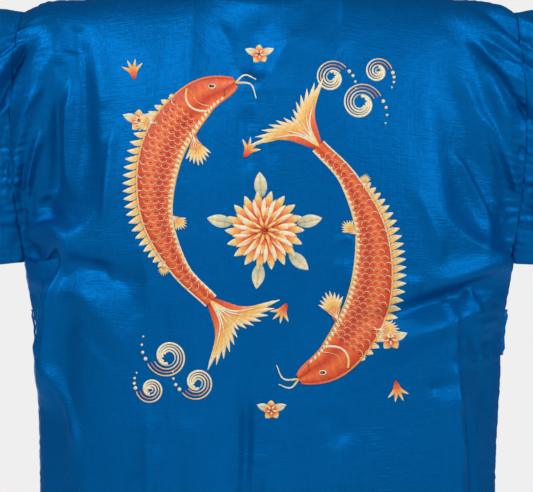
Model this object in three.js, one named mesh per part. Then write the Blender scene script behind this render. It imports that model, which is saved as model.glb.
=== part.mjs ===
// A satin kimono robe as it hangs on a wearer whose arms are held out sideways.
// Millimetres, +Z up. The front faces -Y and the wearer's left is +X. The origin lies between the
// two neck points of the shoulder seams, where the robe is carried.
import * as THREE from "three";

// Cloth and seams
const WALL = 1.6;
const BAND_WALL = 3.0;
const SEAM_GAP = 0.3;

// Neck and shoulders
const NECK_HALF = 84;
const NECK_BACK = 57;
const NECK_DROP = 16;
const NECK_REACH = 75;
const NECK_SETTLE = 0.25;
const SHOULDER_FALL = 30;

// Armholes and sleeves
const ARMHOLE_X = 292;
const ARMHOLE_BULGE = 14;
const UNDERARM_Z = -329;
const CUFF_X = 684;
const CUFF_FALL = 30;
const ARM_RADIUS = 58;
const CUFF_RADIUS = 46;
const SLEEVE_GAP = 9;
const CUFF_GAP = 15;

// Body
const HEM_Z = -1215;
const NECK_SHARE = 0.2;
const FLATNESS = 3;
const ROUNDNESS = 1 / 2.2;
const ARM_BLEND_FROM = 0.5;
const ARM_BLEND_LOW = 0.999;

// Half width and depths of the body from the underarm to the hem
const SECTIONS = [
  { z: -329, half: 292, back: 112, front: 120 },
  { z: -420, half: 281, back: 110, front: 117 },
  { z: -605, half: 272, back: 107, front: 112 },
  { z: -800, half: 271, back: 112, front: 112 },
  { z: -1000, half: 276, back: 118, front: 117 },
  { z: -1215, half: 284, back: 124, front: 123 },
];

// The seam between each front and the neckband, as a distance from the centre
const FRONT_EDGES = [
  { z: 0, edge: 84 },
  { z: -120, edge: 85 },
  { z: -300, edge: 80 },
  { z: -520, edge: 78 },
  { z: -800, edge: 84 },
  { z: -1215, edge: 96 },
];

// Neckband
const BAND_WIDTH = 46;
const BAND_LEAN_BACK = 4;
const BAND_LEAN_SIDE = 34;
const BAND_TURN = 200;

// Belt loops on the side seams
const LOOP_TOP_Z = -386;
const LOOP_BOTTOM_Z = -440;
const LOOP_STANDOFF = 6;
const LOOP_WALL = 1.4;
const LOOP_WIDTH = 7;
const LOOP_FOOT = 8;
const LOOP_STEPS = 18;

// Rows and columns of the cloth
const YOKE_ROWS = 14;
const SKIRT_ROWS = 20;
const SKIRT_SPREAD = 1.3;
const BACK_NECK_COLUMNS = 10;
const BACK_SIDE_COLUMNS = 16;
const FRONT_COLUMNS = 15;
const SLEEVE_STATIONS = 17;
const BAND_COLUMNS = 2;

// The largest folds. Each runs from its top (x0, z0) to its foot (x1, z1) on one side of the robe, bowed
// sideways by bow. wide is the distance over which it fades, and high its rise, or its depth if negative.
const BACK = 1;
const FRONT = -1;
const FOLDS = [
  { side: BACK, x0: 262, z0: -40, x1: 232, z1: -262, bow: 8, wide: 12, high: 6 },
  { side: BACK, x0: 232, z0: -36, x1: 214, z1: -230, bow: 6, wide: 13, high: -5 },
  { side: BACK, x0: 206, z0: -60, x1: 186, z1: -290, bow: 5, wide: 13, high: 4.5 },
  { side: BACK, x0: 286, z0: -60, x1: 330, z1: -230, bow: 6, wide: 11, high: -6 },
  { side: BACK, x0: 280, z0: -110, x1: 300, z1: -290, bow: -10, wide: 12, high: 7 },
  { side: BACK, x0: 300, z0: -300, x1: 214, z1: -308, bow: 4, wide: 15, high: 9 },
  { side: BACK, x0: 296, z0: -344, x1: 130, z1: -350, bow: 4, wide: 16, high: -9 },
  { side: BACK, x0: 248, z0: -330, x1: 256, z1: -520, bow: -14, wide: 11, high: 7 },
  { side: BACK, x0: 228, z0: -350, x1: 232, z1: -560, bow: -8, wide: 15, high: -5 },
  { side: BACK, x0: -212, z0: -80, x1: -262, z1: -318, bow: 16, wide: 12, high: 7 },
  { side: BACK, x0: -232, z0: -60, x1: -288, z1: -280, bow: 10, wide: 12, high: -5 },
  { side: BACK, x0: -244, z0: -50, x1: -300, z1: -262, bow: 4, wide: 12, high: 6 },
  { side: BACK, x0: -176, z0: -110, x1: -206, z1: -330, bow: 6, wide: 15, high: 4 },
  { side: BACK, x0: -196, z0: -32, x1: -330, z1: -190, bow: 4, wide: 10, high: -5 },
  { side: BACK, x0: -300, z0: -322, x1: -180, z1: -356, bow: 4, wide: 14, high: 8 },
  { side: BACK, x0: -296, z0: -350, x1: -150, z1: -388, bow: 4, wide: 15, high: -9 },
  { side: BACK, x0: -214, z0: -385, x1: -230, z1: -700, bow: 4, wide: 12, high: 7 },
  { side: BACK, x0: -240, z0: -420, x1: -252, z1: -700, bow: 4, wide: 12, high: -5 },
  { side: BACK, x0: 268, z0: -460, x1: 246, z1: -640, bow: 6, wide: 16, high: -7 },
  { side: BACK, x0: -252, z0: -390, x1: -262, z1: -640, bow: 3, wide: 14, high: -6 },
  { side: BACK, x0: 13, z0: -24, x1: 13, z1: -130, bow: 0, wide: 34, high: -6 },
  { side: BACK, x0: 24, z0: -440, x1: 18, z1: -860, bow: 5, wide: 12, high: -6 },
  { side: BACK, x0: 132, z0: -440, x1: 140, z1: -900, bow: -6, wide: 20, high: 5 },
  { side: BACK, x0: -96, z0: -470, x1: -110, z1: -950, bow: 6, wide: 22, high: 5 },
  { side: FRONT, x0: 150, z0: -60, x1: 176, z1: -330, bow: 6, wide: 15, high: 5 },
  { side: FRONT, x0: -150, z0: -70, x1: -182, z1: -320, bow: -8, wide: 15, high: 5 },
  { side: FRONT, x0: 236, z0: -50, x1: 262, z1: -300, bow: 8, wide: 13, high: 6 },
  { side: FRONT, x0: -240, z0: -60, x1: -266, z1: -290, bow: -6, wide: 13, high: 6 },
  { side: FRONT, x0: 298, z0: -346, x1: 190, z1: -366, bow: 4, wide: 15, high: -8 },
  { side: FRONT, x0: -298, z0: -342, x1: -196, z1: -360, bow: -4, wide: 15, high: -8 },
  { side: FRONT, x0: 150, z0: -300, x1: 150, z1: -1000, bow: 10, wide: 20, high: 7 },
  { side: FRONT, x0: 206, z0: -380, x1: 212, z1: -1100, bow: -8, wide: 18, high: -6 },
  { side: FRONT, x0: -146, z0: -320, x1: -140, z1: -960, bow: 8, wide: 20, high: 7 },
  { side: FRONT, x0: -198, z0: -400, x1: -214, z1: -1100, bow: 6, wide: 18, high: -6 },
  { side: BACK, x0: 372, z0: -70, x1: 360, z1: -380, bow: 8, wide: 15, high: 8 },
  { side: BACK, x0: 452, z0: -70, x1: 440, z1: -390, bow: -6, wide: 16, high: -7 },
  { side: BACK, x0: 530, z0: -76, x1: 536, z1: -390, bow: 8, wide: 17, high: 8 },
  { side: BACK, x0: 612, z0: -80, x1: 604, z1: -400, bow: 5, wide: 16, high: -7 },
  { side: BACK, x0: -364, z0: -66, x1: -346, z1: -380, bow: -8, wide: 15, high: 8 },
  { side: BACK, x0: -436, z0: -70, x1: -450, z1: -390, bow: 6, wide: 16, high: -7 },
  { side: BACK, x0: -520, z0: -74, x1: -512, z1: -390, bow: -8, wide: 17, high: 8 },
  { side: BACK, x0: -600, z0: -80, x1: -616, z1: -400, bow: -5, wide: 16, high: -7 },
  { side: FRONT, x0: 366, z0: -70, x1: 352, z1: -380, bow: 6, wide: 15, high: -6 },
  { side: FRONT, x0: 440, z0: -70, x1: 452, z1: -390, bow: 6, wide: 17, high: 8 },
  { side: FRONT, x0: 548, z0: -76, x1: 540, z1: -390, bow: -6, wide: 17, high: -7 },
  { side: FRONT, x0: 620, z0: -80, x1: 626, z1: -400, bow: 5, wide: 15, high: 7 },
  { side: FRONT, x0: -372, z0: -70, x1: -358, z1: -380, bow: -6, wide: 15, high: -6 },
  { side: FRONT, x0: -452, z0: -70, x1: -444, z1: -390, bow: -6, wide: 17, high: 8 },
  { side: FRONT, x0: -540, z0: -76, x1: -552, z1: -390, bow: 6, wide: 17, high: -7 },
  { side: FRONT, x0: -618, z0: -80, x1: -610, z1: -400, bow: -5, wide: 15, high: 7 },
];
const FOLD_EDGE = 26;
const FOLD_ENDS = 0.25;

// Cloth that puffs out beside the armhole seams
const PUFF = 7;
const PUFF_RISE = 20;
const PUFF_REACH = 90;

// Waves that open towards the hem: rise, length along the hem and start
const HEM_WAVES = [
  { high: 7, length: 138, start: 0.5 },
  { high: 4.5, length: 83, start: 2.1 },
];
const WAVES_FROM_Z = -640;

const clamp01 = (v) => Math.min(1, Math.max(0, v));
const mix = (a, b, t) => a + (b - a) * t;
const smooth = (from, to, v) => {
  const t = clamp01((v - from) / (to - from));
  return t * t * (3 - 2 * t);
};

// Reads a column of a table at height z, along a smooth curve through its rows
function readTable(rows, column, z) {
  const last = rows.length - 1;
  const below = rows.findIndex((row) => row.z <= z);
  const i = below < 0 ? last - 1 : Math.min(Math.max(below - 1, 0), last - 1);
  const slope = (k) => {
    const up = rows[Math.max(k - 1, 0)];
    const down = rows[Math.min(k + 1, last)];
    return (down[column] - up[column]) / (down.z - up.z);
  };
  const a = rows[i];
  const b = rows[i + 1];
  const span = b.z - a.z;
  const t = clamp01((z - a.z) / span);
  const t2 = t * t;
  const t3 = t2 * t;
  return (2 * t3 - 3 * t2 + 1) * a[column] + (t3 - 2 * t2 + t) * span * slope(i)
    + (3 * t2 - 2 * t3) * b[column] + (t3 - t2) * span * slope(i + 1);
}

// A row of the cloth: on the yoke an angle over the shoulder, and on the skirt a height
function rowAt(j) {
  if (j <= YOKE_ROWS) {
    const turn = (j / YOKE_ROWS) * (Math.PI / 2);
    return { turn, out: Math.sin(turn), down: 1 - Math.cos(turn), share: j / YOKE_ROWS };
  }
  const z = mix(UNDERARM_Z, HEM_Z, ((j - YOKE_ROWS) / SKIRT_ROWS) ** SKIRT_SPREAD);
  return { z, out: 1, down: 1, share: 1 };
}

const armholeX = (down) => ARMHOLE_X + ARMHOLE_BULGE * Math.sin(Math.PI * down);

// Half the thickness of a sleeve at a drop below its top: round over the arm, then hanging nearly flat
function sleeveDepth(drop, radius, gap) {
  const depth = -SHOULDER_FALL - UNDERARM_Z;
  if (drop < radius) return Math.sqrt(radius ** 2 - (radius - drop) ** 2);
  const t = (drop - radius) / (depth - radius);
  const hanging = mix(gap, radius, (Math.cos(Math.PI * Math.min(t, 1)) + 1) / 2);
  return hanging * Math.min(1, Math.sqrt(Math.max(0, (1 - t) * 8)));
}

// A point of the body's cloth: side is back or front, across runs from the centre (0) to the side (1),
// and top is the point of the top edge above it. Below its seam the back neck spreads to a soft swell.
function bodyPoint(side, across, top, row) {
  const depthColumn = side === BACK ? "back" : "front";
  const z = row.z ?? mix(top.z, UNDERARM_Z, row.down);
  const half = row.z === undefined ? armholeX(row.down) : readTable(SECTIONS, "half", z);
  const depth = readTable(SECTIONS, depthColumn, Math.min(z, UNDERARM_Z));
  const x = half * mix(top.x / ARMHOLE_X, across, smooth(0, 1, row.share));
  const s = Math.min(1, Math.abs(x) / half);
  const oval = Math.max(0, 1 - s ** FLATNESS) ** ROUNDNESS;
  const swell = side === BACK ? NECK_BACK * Math.exp(-((x / NECK_REACH) ** 2)) : 0;
  let y = mix(mix(top.y, swell, smooth(0, NECK_SETTLE, row.share)), depth * oval, row.out);
  if (row.z === undefined) {
    const drop = (-SHOULDER_FALL - UNDERARM_Z) * row.down;
    const arm = sleeveDepth(drop, ARM_RADIUS, SLEEVE_GAP);
    const from = mix(ARM_BLEND_FROM, ARM_BLEND_LOW, row.down ** 6);
    y = mix(y, arm, smooth(from, 1, s));
  }
  return new THREE.Vector3(x, side * y, z);
}

// The back's top edge: the neck curve in the middle and the shoulder seams beside it
function backTop(share) {
  const f = Math.abs(share);
  const sign = Math.sign(share);
  if (f <= NECK_SHARE) {
    const angle = (f / NECK_SHARE) * (Math.PI / 2);
    const rise = Math.cos(angle);
    return new THREE.Vector3(sign * NECK_HALF * Math.sin(angle), NECK_BACK * rise, -NECK_DROP * rise);
  }
  return shoulderTop((f - NECK_SHARE) / (1 - NECK_SHARE), sign);
}

function shoulderTop(t, sign) {
  return new THREE.Vector3(sign * mix(NECK_HALF, ARMHOLE_X, t), 0, -SHOULDER_FALL * t ** 1.3);
}

const ROWS = YOKE_ROWS + SKIRT_ROWS;
const count = (n) => [...Array(n).keys()];

// The back as rows of points from the right side to the left
function backGrid() {
  const shares = [];
  for (const i of count(BACK_SIDE_COLUMNS)) shares.push(-mix(1, NECK_SHARE, i / BACK_SIDE_COLUMNS));
  for (const i of count(BACK_NECK_COLUMNS)) shares.push(mix(-NECK_SHARE, NECK_SHARE, i / BACK_NECK_COLUMNS));
  for (const i of count(BACK_SIDE_COLUMNS + 1)) shares.push(mix(NECK_SHARE, 1, i / BACK_SIDE_COLUMNS));
  return count(ROWS + 1).map((j) =>
    shares.map((f) => bodyPoint(BACK, Math.sin((f * Math.PI) / 2), backTop(f), rowAt(j))));
}

// One front, from its side seam to the neckband seam. sign is 1 for the wearer's left.
function frontGrid(sign) {
  return count(ROWS + 1).map((j) => {
    const row = rowAt(j);
    return count(FRONT_COLUMNS + 1).map((i) => {
      const t = 1 - i / FRONT_COLUMNS;
      const top = shoulderTop(t, sign);
      const z = row.z ?? mix(top.z, UNDERARM_Z, row.down);
      const half = row.z === undefined ? armholeX(row.down) : readTable(SECTIONS, "half", z);
      const start = Math.asin(readTable(FRONT_EDGES, "edge", z) / half);
      return bodyPoint(FRONT, sign * Math.sin(mix(start, Math.PI / 2, t)), top, row);
    });
  });
}

// One sleeve as closed rings from the armhole to the cuff
function sleeveGrid(sign) {
  const rings = [];
  for (let k = 0; k <= YOKE_ROWS; k++) rings.push({ side: BACK, row: rowAt(k) });
  for (let k = YOKE_ROWS - 1; k > 0; k--) rings.push({ side: FRONT, row: rowAt(k) });
  const depth = -SHOULDER_FALL - UNDERARM_Z;
  return count(SLEEVE_STATIONS + 1).map((i) => {
    const t = i / SLEEVE_STATIONS;
    return rings.map(({ side, row }) => {
      const drop = depth * row.down;
      const y = sleeveDepth(drop, mix(ARM_RADIUS, CUFF_RADIUS, t), mix(SLEEVE_GAP, CUFF_GAP, t));
      const x = mix(armholeX(row.down), CUFF_X, t);
      return new THREE.Vector3(sign * x, side * y, -SHOULDER_FALL - drop - CUFF_FALL * t);
    });
  });
}

// The neckband as strips across its width, from the right hem round the neck to the left hem. It leans
// towards the neck by an angle that grows from the middle of the back to the fronts, where it lies flat.
function bandGrid(back, fronts) {
  const seam = [];
  const add = (point, inwards, lean) => {
    const angle = THREE.MathUtils.degToRad(lean);
    const across = inwards.normalize().multiplyScalar(Math.sin(angle)).setZ(Math.cos(angle));
    seam.push({ point, across });
  };
  const addFront = (sign, j) => {
    const point = fronts[sign][j][FRONT_COLUMNS];
    add(point, new THREE.Vector3(-sign, 0, 0), mix(BAND_LEAN_SIDE, 90, smooth(0, BAND_TURN, -point.z)));
  };
  for (let j = ROWS; j >= 0; j--) addFront(-1, j);
  for (let i = 1; i < BACK_NECK_COLUMNS; i++) {
    const point = back[0][BACK_SIDE_COLUMNS + i];
    const inwards = new THREE.Vector3(-point.x / NECK_HALF, -point.y / NECK_BACK, 0);
    add(point, inwards, mix(BAND_LEAN_BACK, BAND_LEAN_SIDE, (point.x / NECK_HALF) ** 2));
  }
  for (let j = 0; j <= ROWS; j++) addFront(1, j);
  return seam.map(({ point, across }) => count(BAND_COLUMNS + 1).map((c) =>
    point.clone().addScaledVector(across, (BAND_WIDTH * c) / BAND_COLUMNS)));
}

// How far the cloth puffs out beside an armhole seam
function puff(p) {
  const down = clamp01((-SHOULDER_FALL - p.z) / (-SHOULDER_FALL - UNDERARM_Z));
  const off = Math.abs(Math.abs(p.x) - armholeX(down));
  const rise = 1 - Math.exp(-((off / PUFF_RISE) ** 2));
  return PUFF * rise * smooth(PUFF_REACH, PUFF_RISE, off) * smooth(UNDERARM_Z, UNDERARM_Z + PUFF_REACH, p.z);
}

// How far the folds, the puffs and the hem waves move a point of the cloth along its normal
function foldHeight(p) {
  let height = puff(p);
  for (const fold of FOLDS) {
    const edge = smooth(0, FOLD_EDGE, fold.side * p.y);
    if (edge === 0) continue;
    const dx = fold.x1 - fold.x0;
    const dz = fold.z1 - fold.z0;
    const length = Math.hypot(dx, dz);
    const t = ((p.x - fold.x0) * dx + (p.z - fold.z0) * dz) / length ** 2;
    if (t <= 0 || t >= 1) continue;
    const off = ((p.x - fold.x0) * dz - (p.z - fold.z0) * dx) / length - fold.bow * 4 * t * (1 - t);
    const along = smooth(0, FOLD_ENDS, t) * smooth(0, FOLD_ENDS, 1 - t);
    height += fold.high * edge * along * Math.exp(-((off / fold.wide) ** 2));
  }
  const opening = smooth(WAVES_FROM_Z, HEM_Z, p.z) * smooth(0, FOLD_EDGE, Math.abs(p.y));
  for (const wave of HEM_WAVES) {
    height += wave.high * opening * Math.cos((2 * Math.PI * p.x) / wave.length + wave.start * Math.sign(p.y));
  }
  return height;
}

const placeOf = (p) => [p.x, p.y, p.z].map((v) => Math.round(v * 100)).join(",");

// Normals of several grids together, so that two pieces share one normal where they meet
function sharedNormals(grids) {
  const sums = new Map();
  const add = (p, n) => {
    const key = placeOf(p);
    if (!sums.has(key)) sums.set(key, new THREE.Vector3());
    sums.get(key).add(n);
  };
  for (const { points, closed, flip } of grids) {
    const columns = points[0].length;
    for (let j = 0; j + 1 < points.length; j++) {
      for (let i = 0; i < (closed ? columns : columns - 1); i++) {
        const k = (i + 1) % columns;
        const corners = [points[j][i], points[j][k], points[j + 1][k], points[j + 1][i]];
        const first = corners[2].clone().sub(corners[0]);
        const normal = first.cross(corners[3].clone().sub(corners[1])).multiplyScalar(flip ? -1 : 1);
        corners.forEach((corner) => add(corner, normal));
      }
    }
  }
  return (p) => sums.get(placeOf(p)).clone().normalize();
}

// Draws the sewn edges of a piece back by half a seam gap, along the cloth and square to each seam
function drawBack({ points, normals, closed, seams }) {
  const rows = points.length;
  const columns = points[0].length;
  const around = (i) => (i + columns) % columns;
  const pulls = points.map((row) => row.map(() => []));
  const sew = (j, i, j2, i2, inJ, inI) => {
    const along = points[j2][i2].clone().sub(points[j][i]).normalize();
    for (const [a, b] of [[j, i], [j2, i2]]) {
      const into = points[a + inJ][around(b + inI)].clone().sub(points[a][b]);
      const away = normals[a][b].clone().cross(along).normalize();
      pulls[a][b].push(away.multiplyScalar(Math.sign(away.dot(into)) || 1));
    }
  };
  for (const i of count(closed ? columns : columns - 1)) {
    if (seams.includes("first")) sew(0, i, 0, around(i + 1), 1, 0);
  }
  for (const j of count(rows - 1)) {
    if (seams.includes("left")) sew(j, 0, j + 1, 0, 0, 1);
    if (seams.includes("right")) sew(j, columns - 1, j + 1, columns - 1, 0, -1);
  }
  return points.map((row, j) => row.map((p, i) => {
    const [one, two = one] = pulls[j][i];
    if (!one) return p.clone();
    const mitre = one.clone().add(two).divideScalar(1 + one.dot(two));
    return p.clone().addScaledVector(mitre, SEAM_GAP / 2);
  }));
}

// Closes a grid of points into a wall of cloth: an outer skin, an inner skin and the rims between them
function clothWall({ points, normals, closed, flip }, wall) {
  const rows = points.length;
  const columns = points[0].length;
  const position = [];
  for (const offset of [wall / 2, -wall / 2]) {
    points.forEach((row, j) => row.forEach((p, i) => {
      position.push(...p.clone().addScaledVector(normals[j][i], offset).toArray());
    }));
  }
  const index = [];
  const inner = rows * columns;
  const corner = (k) => new THREE.Vector3().fromArray(position, 3 * k);
  const quad = (a, b, c, d) => {
    const short = corner(a).distanceTo(corner(c)) <= corner(b).distanceTo(corner(d));
    const [p, q, r, s] = short ? [a, b, c, d] : [b, c, d, a];
    index.push(...(flip ? [p, r, q, p, s, r] : [p, q, r, p, r, s]));
  };
  const at = (j, i) => j * columns + (i % columns);
  const spans = closed ? columns : columns - 1;
  for (let j = 0; j + 1 < rows; j++) {
    for (let i = 0; i < spans; i++) {
      quad(at(j, i), at(j, i + 1), at(j + 1, i + 1), at(j + 1, i));
      quad(inner + at(j, i), inner + at(j + 1, i), inner + at(j + 1, i + 1), inner + at(j, i + 1));
    }
  }
  for (let i = 0; i < spans; i++) {
    quad(at(0, i), inner + at(0, i), inner + at(0, i + 1), at(0, i + 1));
    quad(at(rows - 1, i), at(rows - 1, i + 1), inner + at(rows - 1, i + 1), inner + at(rows - 1, i));
  }
  for (let j = 0; !closed && j + 1 < rows; j++) {
    quad(at(j, 0), at(j + 1, 0), inner + at(j + 1, 0), inner + at(j, 0));
    const i = columns - 1;
    quad(at(j, i), inner + at(j, i), inner + at(j + 1, i), at(j + 1, i));
  }
  const geometry = new THREE.BufferGeometry();
  geometry.setAttribute("position", new THREE.Float32BufferAttribute(position, 3));
  geometry.setIndex(index);
  geometry.computeVertexNormals();
  return geometry;
}

// A belt loop: a narrow strip sewn to the side seam at both ends and standing away between them
function beltLoop(sign) {
  const surface = (z) => readTable(SECTIONS, "half", z) + WALL / 2 + SEAM_GAP;
  const standoff = (z) => {
    const ends = Math.min(LOOP_TOP_Z - z, z - LOOP_BOTTOM_Z);
    return LOOP_STANDOFF * smooth(LOOP_FOOT / 2, LOOP_FOOT * 1.5, ends);
  };
  const heights = count(LOOP_STEPS + 1).map((i) => mix(LOOP_TOP_Z, LOOP_BOTTOM_Z, i / LOOP_STEPS));
  const inside = heights.map((z) => new THREE.Vector2(surface(z) + standoff(z), z));
  const outside = heights.map((z) => new THREE.Vector2(surface(z) + standoff(z) + LOOP_WALL, z));
  const outline = new THREE.Shape([...inside, ...outside.reverse()]);
  const geometry = new THREE.ExtrudeGeometry(outline, { depth: LOOP_WIDTH, bevelEnabled: false });
  geometry.rotateX(Math.PI / 2);
  geometry.translate(0, LOOP_WIDTH / 2, 0);
  if (sign < 0) geometry.rotateZ(Math.PI);
  return geometry;
}

const satin = new THREE.MeshStandardMaterial({ color: 0x045ea6, roughness: 0.38, metalness: 0 });
const band = new THREE.MeshStandardMaterial({ color: 0x0458a0, roughness: 0.42, metalness: 0 });
const loop = new THREE.MeshStandardMaterial({ color: 0x044f92, roughness: 0.5, metalness: 0 });

function buildRobe() {
  const back = backGrid();
  const fronts = { 1: frontGrid(1), "-1": frontGrid(-1) };
  const around = ["first", "left", "right"];
  const pieces = [
    { name: "back", points: back, seams: around },
    { name: "front_left", points: fronts[1], seams: around },
    { name: "front_right", points: fronts[-1], flip: true, seams: around },
    { name: "sleeve_left", points: sleeveGrid(1), closed: true, flip: true, seams: ["first"] },
    { name: "sleeve_right", points: sleeveGrid(-1), closed: true, seams: ["first"] },
    { name: "neckband", points: bandGrid(back, fronts), seams: ["left"] },
  ];
  const flatNormal = sharedNormals(pieces);
  const folded = (p) => p.clone().addScaledVector(flatNormal(p), foldHeight(p));
  for (const piece of pieces) piece.points = piece.points.map((row) => row.map(folded));
  const normal = sharedNormals(pieces);
  const robe = new THREE.Group();
  for (const piece of pieces) {
    piece.normals = piece.points.map((row) => row.map(normal));
    piece.points = drawBack(piece);
    const isBand = piece.name === "neckband";
    const mesh = new THREE.Mesh(clothWall(piece, isBand ? BAND_WALL : WALL), isBand ? band : satin);
    mesh.name = piece.name;
    robe.add(mesh);
  }
  for (const [name, sign] of [["belt_loop_left", 1], ["belt_loop_right", -1]]) {
    const mesh = new THREE.Mesh(beltLoop(sign), loop);
    mesh.name = name;
    robe.add(mesh);
  }
  return robe;
}

export default buildRobe();
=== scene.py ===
import math
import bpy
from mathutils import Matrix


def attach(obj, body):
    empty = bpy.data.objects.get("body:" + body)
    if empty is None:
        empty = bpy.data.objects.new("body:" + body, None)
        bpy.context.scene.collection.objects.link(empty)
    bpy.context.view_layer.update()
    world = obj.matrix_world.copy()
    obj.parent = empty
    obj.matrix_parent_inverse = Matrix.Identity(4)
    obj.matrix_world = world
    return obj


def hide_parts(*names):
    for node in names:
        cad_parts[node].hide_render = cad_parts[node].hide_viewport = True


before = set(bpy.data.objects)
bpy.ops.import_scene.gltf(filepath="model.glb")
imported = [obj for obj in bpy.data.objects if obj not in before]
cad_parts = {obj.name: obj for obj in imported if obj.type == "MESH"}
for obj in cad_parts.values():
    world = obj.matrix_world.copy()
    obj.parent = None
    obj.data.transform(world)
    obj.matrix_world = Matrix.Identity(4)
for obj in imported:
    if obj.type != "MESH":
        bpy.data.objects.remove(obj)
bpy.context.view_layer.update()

from types import SimpleNamespace

import bpy
import numpy as np
from bpy.props import FloatProperty, FloatVectorProperty, PointerProperty
from mathutils import Vector
from mathutils.bvhtree import BVHTree

bl_info = {
    "name": "Satin kimono robe",
    "version": (1, 0, 0),
    "blender": (4, 5, 0),
    "location": "View3D > Sidebar > Robe",
    "description": "Dresses the packed frame of a worn satin kimono robe with an embroidered back",
    "category": "Object",
}

# The shapes below are worked out in millimetres and scaled when a mesh is made
MM = 0.001
BACK, FRONT = 1, -1
LEFT, RIGHT = 1, -1

# Half width and depths of the body at heights from the underarm to the hem
SECTIONS = {
    "z": (-329, -420, -605, -800, -1000, -1215),
    "half": (292, 281, 272, 271, 276, 284),
    "back": (112, 110, 107, 112, 118, 124),
    "front": (120, 117, 112, 112, 117, 123),
}

# The seam between each front and the neckband, as a distance from the centre at each height
FRONT_EDGES = {
    "z": (0, -120, -300, -520, -800, -1215),
    "edge": (84, 85, 80, 78, 84, 96),
}

# The back's neck: its share of the way to the side, how far its curve reaches and how soon it settles,
# and the curve of the shoulder seam beside it
NECK_SHARE = 0.2
NECK_REACH = 75
NECK_SETTLE = 0.25
SHOULDER_CURVE = 1.3

# The body's oval, how far out it turns into the sleeves at the shoulder and at the underarm, and how
# sharply the sleeves close at their foot
FLATNESS = 3
ROUNDNESS = 1 / 2.2
SLEEVE_BLEND_HIGH = 0.5
SLEEVE_BLEND_LOW = 0.999
SLEEVE_BLEND_CURVE = 6
SLEEVE_FOOT_CURVE = 8

# The neckband's lean from upright, in degrees, behind the neck and beside it, and where it lies flat
BAND_LEAN_BACK = 4
BAND_LEAN_SIDE = 34
BAND_LEAN_FLAT = 90

# Rows and columns of the cloth. The rows are closer together above VIEW_LOW_Z than below it.
YOKE_ROWS = 190
WAIST_ROWS = 90
SKIRT_ROWS = 44
VIEW_LOW_Z = -620
SIDE_COLUMNS = 104
NECK_COLUMNS = 48
SLEEVE_STATIONS = 104
CROWDING = 0.5

# The neckband's columns, those that are topstitched, and how it thins towards its fold
BAND_COLUMNS = 18
BAND_STITCHES = (1, 16)
BAND_ROUND_FROM = 0.93
BAND_ROUND_LONG = 0.07
BAND_FOLD_SHARE = 0.35

# The largest folds, by side. A row is x and z of the fold's top, x and z of its foot, how far it bows
# sideways, how wide it fades, and its rise, or its depth if negative.
BACK_FOLDS = (
    (262, -40, 232, -262, 8, 12, 6),
    (232, -36, 214, -230, 6, 13, -5),
    (206, -60, 186, -290, 5, 13, 4.5),
    (286, -60, 330, -230, 6, 11, -6),
    (280, -110, 300, -290, -10, 12, 7),
    (300, -300, 214, -308, 4, 15, 9),
    (296, -344, 130, -350, 4, 16, -9),
    (248, -330, 256, -520, -14, 11, 7),
    (228, -350, 232, -560, -8, 15, -5),
    (-212, -80, -262, -318, 16, 12, 7),
    (-232, -60, -288, -280, 10, 12, -5),
    (-244, -50, -300, -262, 4, 12, 6),
    (-176, -110, -206, -330, 6, 15, 4),
    (-196, -32, -330, -190, 4, 10, -5),
    (-300, -322, -180, -356, 4, 14, 8),
    (-296, -350, -150, -388, 4, 15, -9),
    (-206, -385, -226, -700, 9, 19, 6),
    (-240, -420, -256, -700, -5, 15, -4),
    (268, -460, 246, -640, 6, 16, -7),
    (-252, -390, -262, -640, 3, 14, -6),
    (13, -24, 13, -130, 0, 34, -6),
    (24, -440, 18, -860, 5, 12, -6),
    (132, -440, 140, -900, -6, 20, 5),
    (-96, -470, -110, -950, 6, 22, 5),
    (372, -70, 360, -380, 8, 15, 8),
    (452, -70, 440, -390, -6, 16, -7),
    (530, -76, 536, -390, 8, 17, 8),
    (612, -80, 604, -400, 5, 16, -7),
    (-364, -66, -346, -380, -8, 15, 8),
    (-436, -70, -450, -390, 6, 16, -7),
    (-520, -74, -512, -390, -8, 17, 8),
    (-600, -80, -616, -400, -5, 16, -7),
)
FRONT_FOLDS = (
    (150, -60, 176, -330, 6, 15, 5),
    (-150, -70, -182, -320, -8, 15, 5),
    (236, -50, 262, -300, 8, 13, 6),
    (-240, -60, -266, -290, -6, 13, 6),
    (298, -346, 190, -366, 4, 15, -8),
    (-298, -342, -196, -360, -4, 15, -8),
    (150, -300, 150, -1000, 10, 20, 7),
    (206, -380, 212, -1100, -8, 18, -6),
    (-146, -320, -140, -960, 8, 20, 7),
    (-198, -400, -214, -1100, 6, 18, -6),
    (366, -70, 352, -380, 6, 15, -6),
    (440, -70, 452, -390, 6, 17, 8),
    (548, -76, 540, -390, -6, 17, -7),
    (620, -80, 626, -400, 5, 15, 7),
    (-372, -70, -358, -380, -6, 15, -6),
    (-452, -70, -444, -390, -6, 17, 8),
    (-540, -76, -552, -390, 6, 17, -7),
    (-618, -80, -610, -400, -5, 15, 7),
)
FOLDS = {BACK: BACK_FOLDS, FRONT: FRONT_FOLDS}

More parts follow.
